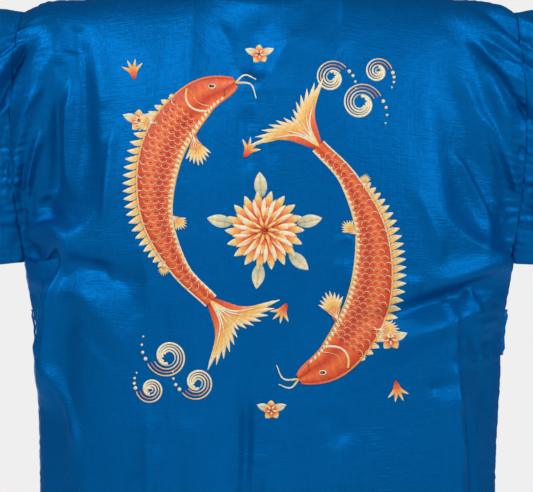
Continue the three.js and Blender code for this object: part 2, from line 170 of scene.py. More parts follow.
# Smaller folds and creases, in the same way. Their rises are multiplied by CREASE_GAIN.
BACK_CREASES = (
    (268, -56, 338, -186, -5, 7.5, -5.2),
    (280, -58, 342, -156, -4, 4.5, 2.8),
    (282, -60, 346, -126, -2, 3.2, 1.6),
    (274, -57, 346, -112, -2, 3.6, -1.9),
    (277, -50, 346, -93, -2, 3.4, 1.8),
    (276, -124, 342, -182, -4, 3, 1.5),
    (250, -78, 304, -198, -4, 9, 2.2),
    (270, -128, 316, -240, -6, 5, -2.4),
    (260, -112, 308, -220, -7, 6, 2.0),
    (250, -84, 236, -150, 3, 8, -2),
    (228, -100, 226, -260, -5, 6.5, 3.6),
    (247, -116, 254, -270, 3, 7.5, -4.2),
    (262, -166, 286, -292, -8, 5.5, 4.2),
    (282, -226, 308, -318, 6, 7, -4),
    (297, -196, 308, -262, 2, 6, 2.4),
    (264, -248, 250, -286, 0, 10, -3),
    (300, -286, 226, -284, -8, 10, 3.5),
    (292, -318, 240, -322, 0, 13, -6),
    (240, -326, 180, -342, 2, 10, -3),
    (180, -166, 194, -290, 2, 3.6, 1.7),
    (226, -48, 230, -86, 0, 12, -1.6),
    (192, -140, 186, -190, 0, 8, -0.8),
    (252, -334, 268, -452, -5, 5.5, 2.6),
    (268, -440, 222, -560, 7, 8, 3),
    (276, -350, 280, -430, 0, 12, -5),
    (244, -350, 150, -446, 6, 17, 2.4),
    (196, -344, 140, -396, 4, 13, -1.6),
    (236, -404, 176, -470, 3, 9, 0.8),
    (134, -490, 134, -640, -3, 7, 1.4),
    (124, -476, 128, -560, 2, 7, -1.2),
    (98, -500, 86, -620, 4, 14, 1.6),
    (26, -470, 34, -680, 3, 6.5, -3),
    (14, -470, 22, -600, 3, 6, 1.4),
    (2, -480, 10, -560, 0, 9, -1),
    (-24, -500, -30, -660, 4, 12, 1.2),
    (-60, -500, -96, -536, 2, 12, -1.4),
    (-78, -530, -88, -600, 2, 14, 1.4),
    (-118, -500, -124, -680, 3, 11, 1.2),
    (-214, -360, -215, -450, 2, 5.5, 2.4),
    (-215, -440, -230, -580, -3, 6.5, 3.2),
    (-238, -356, -246, -396, 0, 6, 3),
    (-246, -392, -256, -470, 3, 6, 1.2),
    (-232, -480, -246, -640, 0, 8, -3),
    (-120, -432, -290, -356, -7, 13, 3),
    (-90, -404, -290, -336, -5, 10, -3.4),
    (-196, -498, -228, -486, 0, 9, 1.8),
    (-186, -478, -222, -466, 0, 8, -1.8),
    (-146, -352, -182, -356, 0, 8, 1.4),
    (-234, -362, -278, -352, 0, 4, 1.0),
    (-236, -386, -280, -374, 0, 4, -1.1),
    (-232, -404, -278, -398, 0, 4, 0.9),
    (-232, -426, -278, -420, 0, 5, -0.9),
    (-226, -448, -278, -442, 0, 5, 1.0),
    (243, -310, 262, -470, -3, 3.0, 2.2),
    (-209, -190, -262, -330, 9, 6, 3.0),
    (-246, -146, -302, -258, 5, 7, 3.0),
    (-234, -190, -280, -300, 7, 8, -1.6),
    (-166, -236, -206, -336, 3, 6, 2),
    (-262, -250, -284, -286, 2, 6, 1.6),
    (-246, -76, -304, -154, 4, 6.5, 3),
    (-252, -86, -312, -174, 4, 7, -4.6),
    (-240, -24, -322, -86, 2, 6, -3.2),
    (-250, -62, -322, -112, 3, 6, -3),
    (-226, -60, -300, -124, 3, 6, 1.6),
    (-262, -24, -330, -66, 2, 6, 2.6),
    (-296, -196, -306, -200, 0, 5, -1.6),
    (62, -42, 22, -134, 3, 8, 1.5),
    (-38, -52, 10, -134, -3, 8, 1.5),
    (16, -42, 16, -116, 0, 17, -2),
    (-30, -60, -90, -96, 0, 26, 1.6),
    (24, -146, 26, -230, 0, 7, -1.8),
    (8, -120, -4, -226, 3, 6, -1.4),
    (14, -110, 2, -190, 3, 7, 1.2),
    (-74, -306, -96, -300, 0, 6, 1.2),
    (-84, -322, -88, -362, 0, 8, 1.8),
    (-104, -282, -106, -350, 0, 6, -1.2),
    (-30, -290, -32, -352, 0, 6, 1),
    (150, -300, 138, -372, 3, 7, 1),
    (122, -372, 118, -440, 0, 8, -1.2),
    (340, -70, 336, -150, 0, 6, 2),
    (352, -110, 340, -240, 3, 8, -2.4),
    (330, -200, 322, -300, -3, 7, 2.4),
    (398, -120, 390, -300, 5, 9, 2.2),
    (480, -90, 470, -220, 4, 9, -2),
    (500, -240, 560, -320, 4, 12, 2.4),
    (580, -120, 576, -260, 4, 9, 2),
    (644, -130, 650, -320, 3, 9, -2.4),
    (-336, -80, -330, -160, 0, 6, 2),
    (-348, -120, -338, -250, 3, 8, -2.4),
    (-326, -210, -322, -300, -3, 7, 2.2),
    (-404, -110, -392, -290, 5, 9, 2.2),
    (-486, -100, -474, -230, 4, 9, -2),
    (-492, -250, -556, -318, 4, 12, 2.4),
    (-574, -130, -580, -270, 4, 9, 2),
    (-640, -120, -652, -310, 3, 9, -2.4),
    (-170, -620, -176, -1000, 6, 12, 2.6),
    (-40, -700, -30, -1100, 5, 12, 2.4),
    (64, -680, 60, -1080, 5, 13, 2.2),
    (196, -640, 210, -1060, 5, 12, -2.6),
    (244, -640, 256, -1000, 4, 10, 3),
)
FRONT_CREASES = (
    (270, -64, 318, -160, -5, 8, -4),
    (258, -80, 306, -190, -5, 7, 2.6),
    (286, -230, 306, -318, 5, 7, -3.4),
    (230, -110, 214, -280, 6, 9, -2.4),
    (196, -60, 190, -220, 4, 9, 2),
    (120, -90, 128, -300, 4, 10, -2),
    (250, -350, 262, -480, -5, 6, 2.6),
    (236, -366, 132, -452, 5, 14, 2.4),
    (212, -348, 120, -400, 4, 11, -2),
    (118, -420, 112, -640, 4, 9, 1.8),
    (172, -520, 178, -860, 5, 10, 2),
    (232, -560, 246, -900, 5, 11, -2.4),
    (-266, -62, -320, -150, -5, 8, -4),
    (-254, -84, -308, -184, -5, 7, 2.6),
    (-284, -226, -308, -316, 5, 7, -3.4),
    (-226, -116, -218, -270, 6, 9, -2.4),
    (-190, -66, -196, -230, 4, 9, 2),
    (-124, -100, -130, -310, 4, 10, -2),
    (-252, -352, -260, -470, -5, 6, 2.6),
    (-240, -370, -140, -440, 5, 14, 2.4),
    (-206, -350, -128, -392, 4, 11, -2),
    (-114, -430, -110, -650, 4, 9, 1.8),
    (-170, -540, -182, -880, 5, 10, 2),
    (-238, -570, -242, -880, 5, 11, -2.4),
    (340, -74, 334, -160, 0, 6, 2),
    (350, -120, 338, -250, 3, 8, -2.4),
    (404, -110, 396, -280, 5, 9, 2.2),
    (494, -110, 488, -250, 4, 9, 2),
    (588, -120, 592, -280, 4, 9, -2),
    (-338, -76, -334, -150, 0, 6, 2),
    (-352, -116, -342, -240, 3, 8, -2.4),
    (-408, -120, -398, -290, 5, 9, 2.2),
    (-498, -110, -490, -240, 4, 9, 2),
    (-584, -126, -590, -270, 4, 9, -2),
)
CREASES = {BACK: BACK_CREASES, FRONT: FRONT_CREASES}
CREASE_GAIN = 2.2

# How far from the side seams the folds fade, and over what share of its length each one's ends do
FOLD_EDGE = 26
FOLD_ENDS = 0.25

# Waves that open towards the hem: rise, length along the hem and start
HEM_WAVES = (
    (7, 138, 0.5),
    (4.5, 83, 2.1),
)
WAVES_FROM_Z = -640


def length_property(name, description, default):
    """A length that the user can change, in metres."""
    return FloatProperty(name=name, description=description, default=default, unit="LENGTH")


def colour_property(name, description, default):
    """A colour that the user can change."""
    return FloatVectorProperty(
        name=name, description=description, default=default, subtype="COLOR", min=0, max=1
    )


class RobeCut(bpy.types.PropertyGroup):
    """Sizes of the robe, as cut and worn"""

    neck_half: length_property("Neck half width", "From the centre to the neck point", 0.084)
    neck_back: length_property("Neck depth", "From the shoulder seams to the back neck seam", 0.057)
    neck_drop: length_property("Neck drop", "Dip of the back neck seam", 0.016)
    shoulder_fall: length_property("Shoulder fall", "From the neck point down to the armhole", 0.030)
    armhole_x: length_property("Armhole", "From the centre to the armhole seam", 0.292)
    armhole_bulge: length_property("Armhole bulge", "Outward curve of the armhole seam", 0.014)
    underarm_z: length_property("Underarm", "Height of the underarm", -0.329)
    cuff_x: length_property("Cuff", "From the centre to the cuff", 0.684)
    cuff_fall: length_property("Cuff fall", "From the armhole down to the cuff", 0.030)
    sleeve_radius: length_property("Sleeve radius", "Round of the sleeve's top beside the armhole", 0.058)
    cuff_radius: length_property("Cuff radius", "Round of the sleeve's top at the cuff", 0.046)
    sleeve_gap: length_property("Sleeve gap", "Half the gap in the sleeve's hanging part", 0.009)
    cuff_gap: length_property("Cuff gap", "Half the gap in the cuff's hanging part", 0.015)
    hem_z: length_property("Hem", "Height of the hem", -1.215)
    band_width: length_property("Neckband width", "Width of the neckband", 0.046)
    band_turn: length_property("Neckband turn", "Drop over which the neckband turns flat", 0.200)
    band_cloth: length_property("Neckband cloth", "Thickness of the doubled neckband", 0.0026)
    seam_gap: length_property("Seam gap", "Gap between sewn edges", 0.00002)
    puff: length_property("Puff", "Rise of the cloth beside the armhole seams", 0.007)


def millimetres(group, names=None):
    """Sizes of a property group in millimetres: all of them, or those named."""
    names = names or type(group).__annotations__
    return SimpleNamespace(**{name: getattr(group, name) / MM for name in names})


def mix(a, b, t):
    return a + (b - a) * t


def smooth(low, high, value):
    t = np.clip((value - low) / (high - low), 0, 1)
    return t * t * (3 - 2 * t)


def unit(vectors):
    return vectors / np.maximum(np.linalg.norm(vectors, axis=-1, keepdims=True), 1e-9)


def read_table(table, column, z):
    """A column of a table at the heights z, along a smooth curve through its values."""
    heights = np.array(table["z"], float)
    values = np.array(table[column], float)
    last = len(heights) - 1
    above = np.maximum(np.arange(last + 1) - 1, 0)
    below = np.minimum(np.arange(last + 1) + 1, last)
    slopes = (values[below] - values[above]) / (heights[below] - heights[above])
    i = np.clip(np.searchsorted(-heights, -z) - 1, 0, last - 1)
    span = heights[i + 1] - heights[i]
    t = np.clip((z - heights[i]) / span, 0, 1)
    curve = (2 * t**3 - 3 * t**2 + 1) * values[i] + (t**3 - 2 * t**2 + t) * span * slopes[i]
    return curve + (3 * t**2 - 2 * t**3) * values[i + 1] + (t**3 - t**2) * span * slopes[i + 1]


def crowded(n):
    """n + 1 values from 0 to 1, closer together near 0."""
    t = np.linspace(0, 1, n + 1)
    return t * (1 - CROWDING + CROWDING * t)


def cloth_rows(cut):
    """The rows of the cloth: angles over the shoulder, then heights down to the hem."""
    turn = np.linspace(0, math.pi / 2, YOKE_ROWS + 1)
    waist = np.linspace(cut.underarm_z, VIEW_LOW_Z, WAIST_ROWS + 1)[1:]
    skirt = np.linspace(VIEW_LOW_Z, cut.hem_z, SKIRT_ROWS + 1)[1:]
    low = np.concatenate([waist, skirt])
    ones = np.ones(len(low))
    rows = SimpleNamespace(
        yoke=np.concatenate([turn > -1, ones < 0]),
        out=np.concatenate([np.sin(turn), ones]),
        down=np.concatenate([1 - np.cos(turn), ones]),
        share=np.concatenate([turn / (math.pi / 2), ones]),
        z=np.concatenate([0 * turn, low]),
    )
    return SimpleNamespace(**{name: values[:, None] for name, values in vars(rows).items()})


def armhole_x(cut, down):
    return cut.armhole_x + cut.armhole_bulge * np.sin(math.pi * down)


def sleeve_depth(cut, drop, radius, gap):
    """Half the thickness of a sleeve: round along its top, then hanging nearly flat."""
    depth = -cut.shoulder_fall - cut.underarm_z
    over = np.sqrt(np.maximum(radius**2 - (radius - drop) ** 2, 0))
    t = np.clip((drop - radius) / (depth - radius), 0, 1)
    closing = np.minimum(1, np.sqrt((1 - t) * SLEEVE_FOOT_CURVE))
    hanging = mix(gap, radius, (np.cos(math.pi * t) + 1) / 2) * closing
    return np.where(drop < radius, over, hanging)


def shoulder_top(cut, t):
    """x, y and z along a shoulder seam from the neck point (0) to the armhole (1)."""
    return mix(cut.neck_half, cut.armhole_x, t), 0 * t, -cut.shoulder_fall * t**SHOULDER_CURVE


def body_points(cut, side, across, top, rows):
    """The body's cloth, back or front. across runs from the centre (0) to the side (1)."""
    top_x, top_y, top_z = top
    z = np.where(rows.yoke, mix(top_z, cut.underarm_z, rows.down), rows.z)
    half = np.where(rows.yoke, armhole_x(cut, rows.down), read_table(SECTIONS, "half", rows.z))
    depth = read_table(SECTIONS, "back" if side == BACK else "front", np.minimum(z, cut.underarm_z))
    x = half * mix(top_x / cut.armhole_x, across, smooth(0, 1, rows.share))
    reach = np.minimum(1, np.abs(x) / half)
    oval = np.maximum(0, 1 - reach**FLATNESS) ** ROUNDNESS
    swell = cut.neck_back * np.exp(-((x / NECK_REACH) ** 2)) if side == BACK else 0
    y = mix(mix(top_y, swell, smooth(0, NECK_SETTLE, rows.share)), depth * oval, rows.out)
    drop = (-cut.shoulder_fall - cut.underarm_z) * rows.down
    sleeve = sleeve_depth(cut, drop, cut.sleeve_radius, cut.sleeve_gap)
    start = mix(SLEEVE_BLEND_HIGH, SLEEVE_BLEND_LOW, rows.down**SLEEVE_BLEND_CURVE)
    y = np.where(rows.yoke, mix(y, sleeve, smooth(start, 1, reach)), y)
    return np.stack([x, side * y, z], axis=-1)


def back_grid(cut, rows):
    """The back as rows of points from the right side to the left."""
    side = mix(1, NECK_SHARE, crowded(SIDE_COLUMNS))
    neck = np.linspace(-NECK_SHARE, NECK_SHARE, NECK_COLUMNS + 1)[1:-1]
    share = np.concatenate([-side, neck, side[::-1]])
    far = np.abs(share)
    angle = np.minimum(far / NECK_SHARE, 1) * math.pi / 2
    shoulder = shoulder_top(cut, np.clip((far - NECK_SHARE) / (1 - NECK_SHARE), 0, 1))
    at_neck = (cut.neck_half * np.sin(angle), cut.neck_back * np.cos(angle), -cut.neck_drop * np.cos(angle))
    x, y, z = (np.where(far < NECK_SHARE, a, b) for a, b in zip(at_neck, shoulder))
    return body_points(cut, BACK, np.sin(share * math.pi / 2), (np.sign(share) * x, y, z), rows)


def front_grid(cut, rows, hand):
    """One front from its side seam to the neckband seam."""
    t = 1 - crowded(SIDE_COLUMNS)
    x, y, z_top = shoulder_top(cut, t)
    z = np.where(rows.yoke, mix(z_top, cut.underarm_z, rows.down), rows.z)
    half = np.where(rows.yoke, armhole_x(cut, rows.down), read_table(SECTIONS, "half", z))
    start = np.arcsin(read_table(FRONT_EDGES, "edge", z) / half)
    across = hand * np.sin(mix(start, math.pi / 2, t))
    return body_points(cut, FRONT, across, (hand * x, y, z_top), rows)


def sleeve_grid(cut, rows, hand):
    """One sleeve as closed rings from the armhole to the cuff."""
    down = rows.down[: YOKE_ROWS + 1, 0]
    down = np.concatenate([down, down[-2:0:-1]])
    side = np.where(np.arange(2 * YOKE_ROWS) <= YOKE_ROWS, BACK, FRONT)
    t = crowded(SLEEVE_STATIONS)[:, None]
    drop = (-cut.shoulder_fall - cut.underarm_z) * down
    radius = mix(cut.sleeve_radius, cut.cuff_radius, t)
    depth = sleeve_depth(cut, drop, radius, mix(cut.sleeve_gap, cut.cuff_gap, t))
    x = mix(armhole_x(cut, down), cut.cuff_x, t)
    z = -cut.shoulder_fall - drop - cut.cuff_fall * t
    return np.stack([hand * x, side * depth, z], axis=-1)


def band_grid(cut, back, fronts):
    """The neckband from the right hem round the neck to the left hem, flat on the fronts."""
    neck = back[0, SIDE_COLUMNS + 1 : SIDE_COLUMNS + NECK_COLUMNS]
    inwards = np.stack([-neck[:, 0] / cut.neck_half, -neck[:, 1] / cut.neck_back, 0 * neck[:, 0]], axis=-1)
    neck_lean = mix(BAND_LEAN_BACK, BAND_LEAN_SIDE, (neck[:, 0] / cut.neck_half) ** 2)
    runs = [(neck, unit(inwards), neck_lean)]
    for hand in (RIGHT, LEFT):
        edge = fronts[hand][:, -1]
        lean = mix(BAND_LEAN_SIDE, BAND_LEAN_FLAT, smooth(0, cut.band_turn, -edge[:, 2]))
        run = (edge, np.tile([-hand, 0.0, 0.0], (len(edge), 1)), lean)
        runs = [tuple(part[::-1] for part in run)] + runs if hand == RIGHT else runs + [run]
    seam, inwards, lean = (np.concatenate(parts) for parts in zip(*runs))
    angle = np.radians(lean)[:, None]
    across = inwards * np.sin(angle) + np.array([0, 0, 1]) * np.cos(angle)
    steps = np.linspace(0, cut.band_width, BAND_COLUMNS + 1)[None, :, None]
    return seam[:, None] + across[:, None] * steps


def shared_normals(pieces):
    """A normal for each point of each piece, shared where the pieces meet."""
    points = np.concatenate([piece.points.reshape(-1, 3) for piece in pieces])
    place = np.unique(np.round(points, 2), axis=0, return_inverse=True)[1].reshape(-1)
    sums = np.zeros((place.max() + 1, 3))
    first = 0
    spots = []
    for piece in pieces:
        shape = piece.points.shape[:2]
        spot = place[first : first + shape[0] * shape[1]].reshape(shape)
        first += spot.size
        spots.append(spot)
        p, k = piece.points, spot
        if piece.closed:
            p = np.concatenate([p, p[:, :1]], axis=1)
            k = np.concatenate([k, k[:, :1]], axis=1)
        normal = np.cross(p[1:, 1:] - p[:-1, :-1], p[1:, :-1] - p[:-1, 1:]) * (-1 if piece.flip else 1)
        for corner in (k[:-1, :-1], k[:-1, 1:], k[1:, 1:], k[1:, :-1]):
            np.add.at(sums, corner, normal)
    return [unit(sums[spot]) for spot in spots]


def fold_rise(p, folds):
    """How far a table of folds moves each point along its normal."""
    x, y, z = p[..., 0], p[..., 1], p[..., 2]
    rise = np.zeros(x.shape)
    for side, rows in folds.items():
        edge = smooth(0, FOLD_EDGE, side * y)
        for x0, z0, x1, z1, bow, wide, high in rows:
            dx, dz = x1 - x0, z1 - z0
            length = math.hypot(dx, dz)
            t = np.clip(((x - x0) * dx + (z - z0) * dz) / length**2, 0, 1)
            off = ((x - x0) * dz - (z - z0) * dx) / length - bow * 4 * t * (1 - t)
            along = smooth(0, FOLD_ENDS, t) * smooth(0, FOLD_ENDS, 1 - t)
            rise += high * edge * along * np.exp(-((off / wide) ** 2))
    return rise


# Distances from the armhole seam by which the puff has risen, and by which it has fallen again
PUFF_NEAR = 20
PUFF_FAR = 90


def puff_rise(cut, p):
    """How far the cloth puffs out beside the armhole seams."""
    depth = -cut.shoulder_fall - cut.underarm_z
    down = np.clip((-cut.shoulder_fall - p[..., 2]) / depth, 0, 1)
    off = np.abs(np.abs(p[..., 0]) - armhole_x(cut, down))
    rise = (1 - np.exp(-((off / PUFF_NEAR) ** 2))) * (1 - smooth(PUFF_NEAR, PUFF_FAR, off))
    return cut.puff * rise * smooth(cut.underarm_z, cut.underarm_z + PUFF_FAR, p[..., 2])


def loop_rise(p):
    """How the belt loops pull the side seams in and crinkle the satin beside them."""
    deep, tall, wide = LOOP_PULL
    z = p[..., 2] - (LOOP_TOP + LOOP_FOOT) / 2
    near = np.exp(-((z / tall) ** 2) - (p[..., 1] / wide) ** 2)
    rise = -deep * near
    for high, length, slant in LOOP_CRINKLES:
        rise += high * np.sqrt(near) * np.cos(2 * math.pi * (z + slant * p[..., 1]) / length)
    return rise


def hem_rise(cut, p):
    """The waves that open towards the hem."""
    opening = smooth(-WAVES_FROM_Z, -cut.hem_z, -p[..., 2]) * smooth(0, FOLD_EDGE, np.abs(p[..., 1]))
    waves = 0
    for high, length, start in HEM_WAVES:
        waves = waves + high * np.cos(2 * math.pi * p[..., 0] / length + start * np.sign(p[..., 1]))
    return opening * waves


# Slight waves all over the satin. Each row gives the sizes of its waves across, front to back and down,
# its rise, and its seed. Their values come from a repeating lattice of random ones.
WAVES = (
    ((95, 120, 130), 1.7, 11),
    ((52, 90, 74), 0.75, 12),
    ((24, 60, 120), 0.55, 13),
    ((70, 60, 20), 0.3, 14),
    ((13, 30, 44), 0.17, 15),
    ((30, 30, 11), 0.12, 16),
)
LATTICE = 32
LATTICE_SHIFT = 100


def wave_noise(p, sizes, seed):
    """Smooth noise between -1 and 1 with the given wave sizes."""
    values = np.random.default_rng(seed).uniform(-1, 1, (LATTICE, LATTICE, LATTICE))
    place = p / np.array(sizes, float) + LATTICE_SHIFT
    cell = np.floor(place).astype(int)
    t = place - cell
    t = t * t * (3 - 2 * t)
    total = np.zeros(p.shape[:-1])
    for corner in np.ndindex(2, 2, 2):
        at = (cell + corner) % LATTICE
        share = np.prod(np.where(np.array(corner) == 1, t, 1 - t), axis=-1)
        total += share * values[at[..., 0], at[..., 1], at[..., 2]]
    return total


def wave_rise(p):
    return sum(high * wave_noise(p, sizes, seed) for sizes, high, seed in WAVES)


# How a sewn edge pulls the cloth: depth and width of the dip, and lengths of the puckers, how they start
# beside the seam, reach and slant, how patchy they are, and how their waves are shifted
SEAM_DIP = 0.8
SEAM_DIP_WIDE = 2.6
PUCKER_LENGTHS = (9.2, 12.4, 17.0, 26.0)
PUCKER_START = 3
PUCKER_REACH = 21
PUCKER_SLANT = 0.22
PATCHES = 0.4
PATCH_LONG = 2.1
SLANT_SHIFT, PATCH_SHIFT, WAVE_SHIFT = 2.3, 1.7, 2.4
SEAM_SHIFT = 1.3
PIECE_SHIFT = 0.8

# The share of the puckers at the top of the armhole, where they grow, and their rise at each seam
PUCKER_HIGH = 0.25
PUCKER_GROW = (0.3, 0.55)
ARMHOLE_PUCKER = 1.4
SLEEVE_PUCKER = 1.5
SIDE_PUCKER = 0.35
SHOULDER_PUCKER = 0.4
FRONT_PUCKER = 0.3
BAND_PUCKER = 0.1


def away_from(points, edge):
    """A piece's points laid out from a sewn edge inwards, and how to lay a result back."""
    if edge == "first":
        return points, lambda values: values
    if edge == "left":
        return points.swapaxes(0, 1), lambda values: values.swapaxes(0, 1)
    return points[:, ::-1].swapaxes(0, 1), lambda values: values.swapaxes(0, 1)[:, ::-1]


def seam_rise(points, edge, pucker, start):
    """The dip into a seam and the puckers beside it. pucker may differ along the edge."""
    laid, lay_back = away_from(points, edge)
    off = arc_lengths(laid, 0)
    run = arc_lengths(laid[0], 0)
    wave = np.zeros(off.shape)
    for k, length in enumerate(PUCKER_LENGTHS):
        slip = PUCKER_SLANT * off * math.sin(SLANT_SHIFT * k + start)
        patchy = 1 - PATCHES + PATCHES * np.sin(run / (PATCH_LONG * length) + PATCH_SHIFT * k + start)
        wave += patchy * np.sin(2 * math.pi * (run + slip) / length + WAVE_SHIFT * k + start)
    reach = (1 - np.exp(-off / PUCKER_START)) * np.exp(-off / PUCKER_REACH)
    dip = -SEAM_DIP * np.exp(-((off / SEAM_DIP_WIDE) ** 2))
    return lay_back(dip), lay_back(pucker * reach * wave)


def sew(piece):
    """Moves a piece's points by the dips and puckers of its seams."""
    dips = np.zeros(piece.points.shape[:2])
    puckers = np.zeros(piece.points.shape[:2])
    for k, (edge, pucker) in enumerate(piece.seams.items()):
        dip, wave = seam_rise(piece.points, edge, pucker, SEAM_SHIFT * k + piece.start)
        dips = np.minimum(dips, dip)
        puckers += wave
    piece.points = piece.points + piece.normals * (dips + puckers)[..., None]


def draw_back(piece, gap):
    """Draws the sewn edges back by half a seam gap."""
    p = piece.points
    if "first" in piece.seams:
        p[0] += unit(p[1] - p[0]) * gap / 2
    if "left" in piece.seams:
        p[:, 0] += unit(p[:, 1] - p[:, 0]) * gap / 2
    if "right" in piece.seams:
        p[:, -1] += unit(p[:, -2] - p[:, -1]) * gap / 2


def cut_piece(points, seams, closed=False, flip=False):
    """A piece of cloth. seams holds its sewn edges' puckers, and flip turns its outside round."""
    return SimpleNamespace(points=points, seams=seams, closed=closed, flip=flip)


def cut_and_fold(cut):
    """All the cloth, cut, folded as worn, and sewn."""
    rows = cloth_rows(cut)
    back = back_grid(cut, rows)
    fronts = {hand: front_grid(cut, rows, hand) for hand in (LEFT, RIGHT)}
    low = mix(PUCKER_HIGH, 1, smooth(*PUCKER_GROW, rows.down[:, 0]))
    side = np.where(rows.yoke[:, 0], ARMHOLE_PUCKER * low, SIDE_PUCKER)
    ring = SLEEVE_PUCKER * low[: YOKE_ROWS + 1]
    sleeve_seams = {"first": np.concatenate([ring, ring[-2:0:-1]])}
    body_seams = {"first": SHOULDER_PUCKER, "left": side, "right": side}
    front_seams = {"first": SHOULDER_PUCKER, "left": side, "right": FRONT_PUCKER}
    pieces = {
        "back": cut_piece(back, body_seams),
        "front_left": cut_piece(fronts[LEFT], front_seams),
        "front_right": cut_piece(fronts[RIGHT], front_seams, flip=True),
        "sleeve_left": cut_piece(sleeve_grid(cut, rows, LEFT), sleeve_seams, closed=True, flip=True),
        "sleeve_right": cut_piece(sleeve_grid(cut, rows, RIGHT), sleeve_seams, closed=True),
        "neckband": cut_piece(band_grid(cut, back, fronts), {"left": BAND_PUCKER}),
    }
    sheets = list(pieces.values())
    for k, (piece, normals) in enumerate(zip(sheets, shared_normals(sheets))):
        piece.start = PIECE_SHIFT * k
        p = piece.points
        rise = fold_rise(p, FOLDS) + CREASE_GAIN * fold_rise(p, CREASES)
        rise = rise + puff_rise(cut, p) + hem_rise(cut, p)
        rise += wave_rise(p) + loop_rise(p)
        piece.points = p + normals * rise[..., None]
    for piece, normals in zip(sheets, shared_normals(sheets)):
        piece.normals = normals
        sew(piece)
    for piece, normals in zip(sheets, shared_normals(sheets)):
        piece.normals = normals
        draw_back(piece, cut.seam_gap)
    return pieces


def arc_lengths(points, axis):
    """How far each point lies along its line of points, where the lines run down an axis."""
    steps = np.linalg.norm(np.diff(points, axis=axis), axis=-1)
    start = np.zeros_like(np.take(steps, [0], axis=axis))
    return np.concatenate([start, np.cumsum(steps, axis=axis)], axis=axis)


def make_object(name, points, faces, layers=None, materials=(), parts=None):
    """A smooth mesh object from points in millimetres. layers holds UV layers, with one UV for each point,
    and parts the number of each face's material."""
    mesh = bpy.data.meshes.new(name)
    mesh.from_pydata((np.asarray(points) * MM).tolist(), [], np.asarray(faces).tolist())
    mesh.polygons.foreach_set("use_smooth", np.ones(len(mesh.polygons), bool))
    corners = np.empty(len(mesh.loops), np.int32)
    mesh.loops.foreach_get("vertex_index", corners)
    for layer_name, uvs in (layers or {}).items():
        layer = mesh.uv_layers.new(name=layer_name)
        layer.data.foreach_set("uv", np.asarray(uvs)[corners].ravel())
    if parts is not None:
        mesh.polygons.foreach_set("material_index", np.asarray(parts, np.int32))
    mesh.update()
    piece = bpy.data.objects.new(name, mesh)
    bpy.context.scene.collection.objects.link(piece)
    for material in materials:
        mesh.materials.append(material)
    return piece


# How the cloth turns in past a sewn edge, as (away from the seam, into the robe), and the hem's turning,
# as (up from the hem, into the robe), with the height of its stitches
SEAM_TURNING = ((0.5, 0.9), (1.2, 2.4), (2.2, 7.0))
HEM_TURNING = ((0, 0.5), (0, 1.1), (6, 1.5), (22, 1.5))
HEM_STITCH = 21
BODY_PIECES = ("back", "front_left", "front_right")
SLEEVES = ("sleeve_left", "sleeve_right")


def turned_in(points, normals, sewn):
    """The points with the cloth's turning added before their first line."""
    if sewn:
        inwards = unit(points[1] - points[0])
        lines = [points[0] + inwards * away - normals[0] * down for away, down in SEAM_TURNING]
        source = [0] * len(lines)
    else:
        off = arc_lengths(points, 0).mean(axis=1)
        source = [int(np.searchsorted(off, up)) for up, down in HEM_TURNING]
        lines = [points[k] - normals[k] * down for k, (up, down) in zip(source, HEM_TURNING)]
    return np.concatenate([np.stack(lines[::-1]), points]), np.concatenate([normals[source[::-1]], normals])


def single_layer(name, piece, material):
    """A piece as one layer of cloth, with its seam allowances and hem turned in."""
    p, n = turned_in(piece.points, piece.normals, True)
    p, n = (a[::-1] for a in turned_in(p[::-1], n[::-1], False))
    if not piece.closed:
        p, n = p.swapaxes(0, 1), n.swapaxes(0, 1)
        # Each pass reverses the columns, so the second one turns in the other side edge
        for _ in range(2):
            p, n = (a[::-1] for a in turned_in(p, n, True))
        p, n = p.swapaxes(0, 1), n.swapaxes(0, 1)
    at = np.arange(p.shape[0] * p.shape[1]).reshape(p.shape[:2])
    if piece.closed:
        at = np.concatenate([at, at[:, :1]], axis=1)
    corners = (at[:-1, :-1], at[:-1, 1:], at[1:, 1:], at[1:, :-1])
    faces = np.stack([corner.ravel() for corner in corners], axis=-1)
    if piece.flip:
        faces = faces[:, ::-1]
    across = arc_lengths(p, 1)
    middle = YOKE_ROWS if piece.closed else p.shape[1] // 2
    across = across - across[:, middle : middle + 1]
    uv = np.stack([np.abs(across) if piece.closed else across, -arc_lengths(p, 0)], axis=-1).reshape(-1, 2)
    return make_object(name, p.reshape(-1, 3), faces, {"thread": uv * MM}, [material])


def thick_band(name, piece, thickness, material):
    """A closed shell round a piece's points. thickness may differ from point to point."""
    rows, columns = piece.points.shape[:2]
    half = np.broadcast_to(thickness, (rows, columns))[..., None] / 2
    outer = (piece.points + piece.normals * half).reshape(-1, 3)
    inner = (piece.points - piece.normals * half).reshape(-1, 3)
    at = np.arange(rows * columns).reshape(rows, columns)
    a, b, c, d = at[:-1, :-1], at[:-1, 1:], at[1:, 1:], at[1:, :-1]
    k = rows * columns
    quads = [
        (a, b, c, d),
        (a + k, d + k, c + k, b + k),
        (at[0, :-1], at[0, :-1] + k, at[0, 1:] + k, at[0, 1:]),
        (at[-1, :-1], at[-1, 1:], at[-1, 1:] + k, at[-1, :-1] + k),
        (at[:-1, 0], at[1:, 0], at[1:, 0] + k, at[:-1, 0] + k),
        (at[:-1, -1], at[:-1, -1] + k, at[1:, -1] + k, at[1:, -1]),
    ]
    faces = np.concatenate([np.stack([corner.ravel() for corner in quad], axis=-1) for quad in quads])
    across = arc_lengths(piece.points, 0)
    uv = np.stack([arc_lengths(piece.points, 1), -across], axis=-1).reshape(-1, 2)
    layers = {"thread": np.concatenate([uv, uv]) * MM}
    return make_object(name, np.concatenate([outer, inner]), faces, layers, [material])


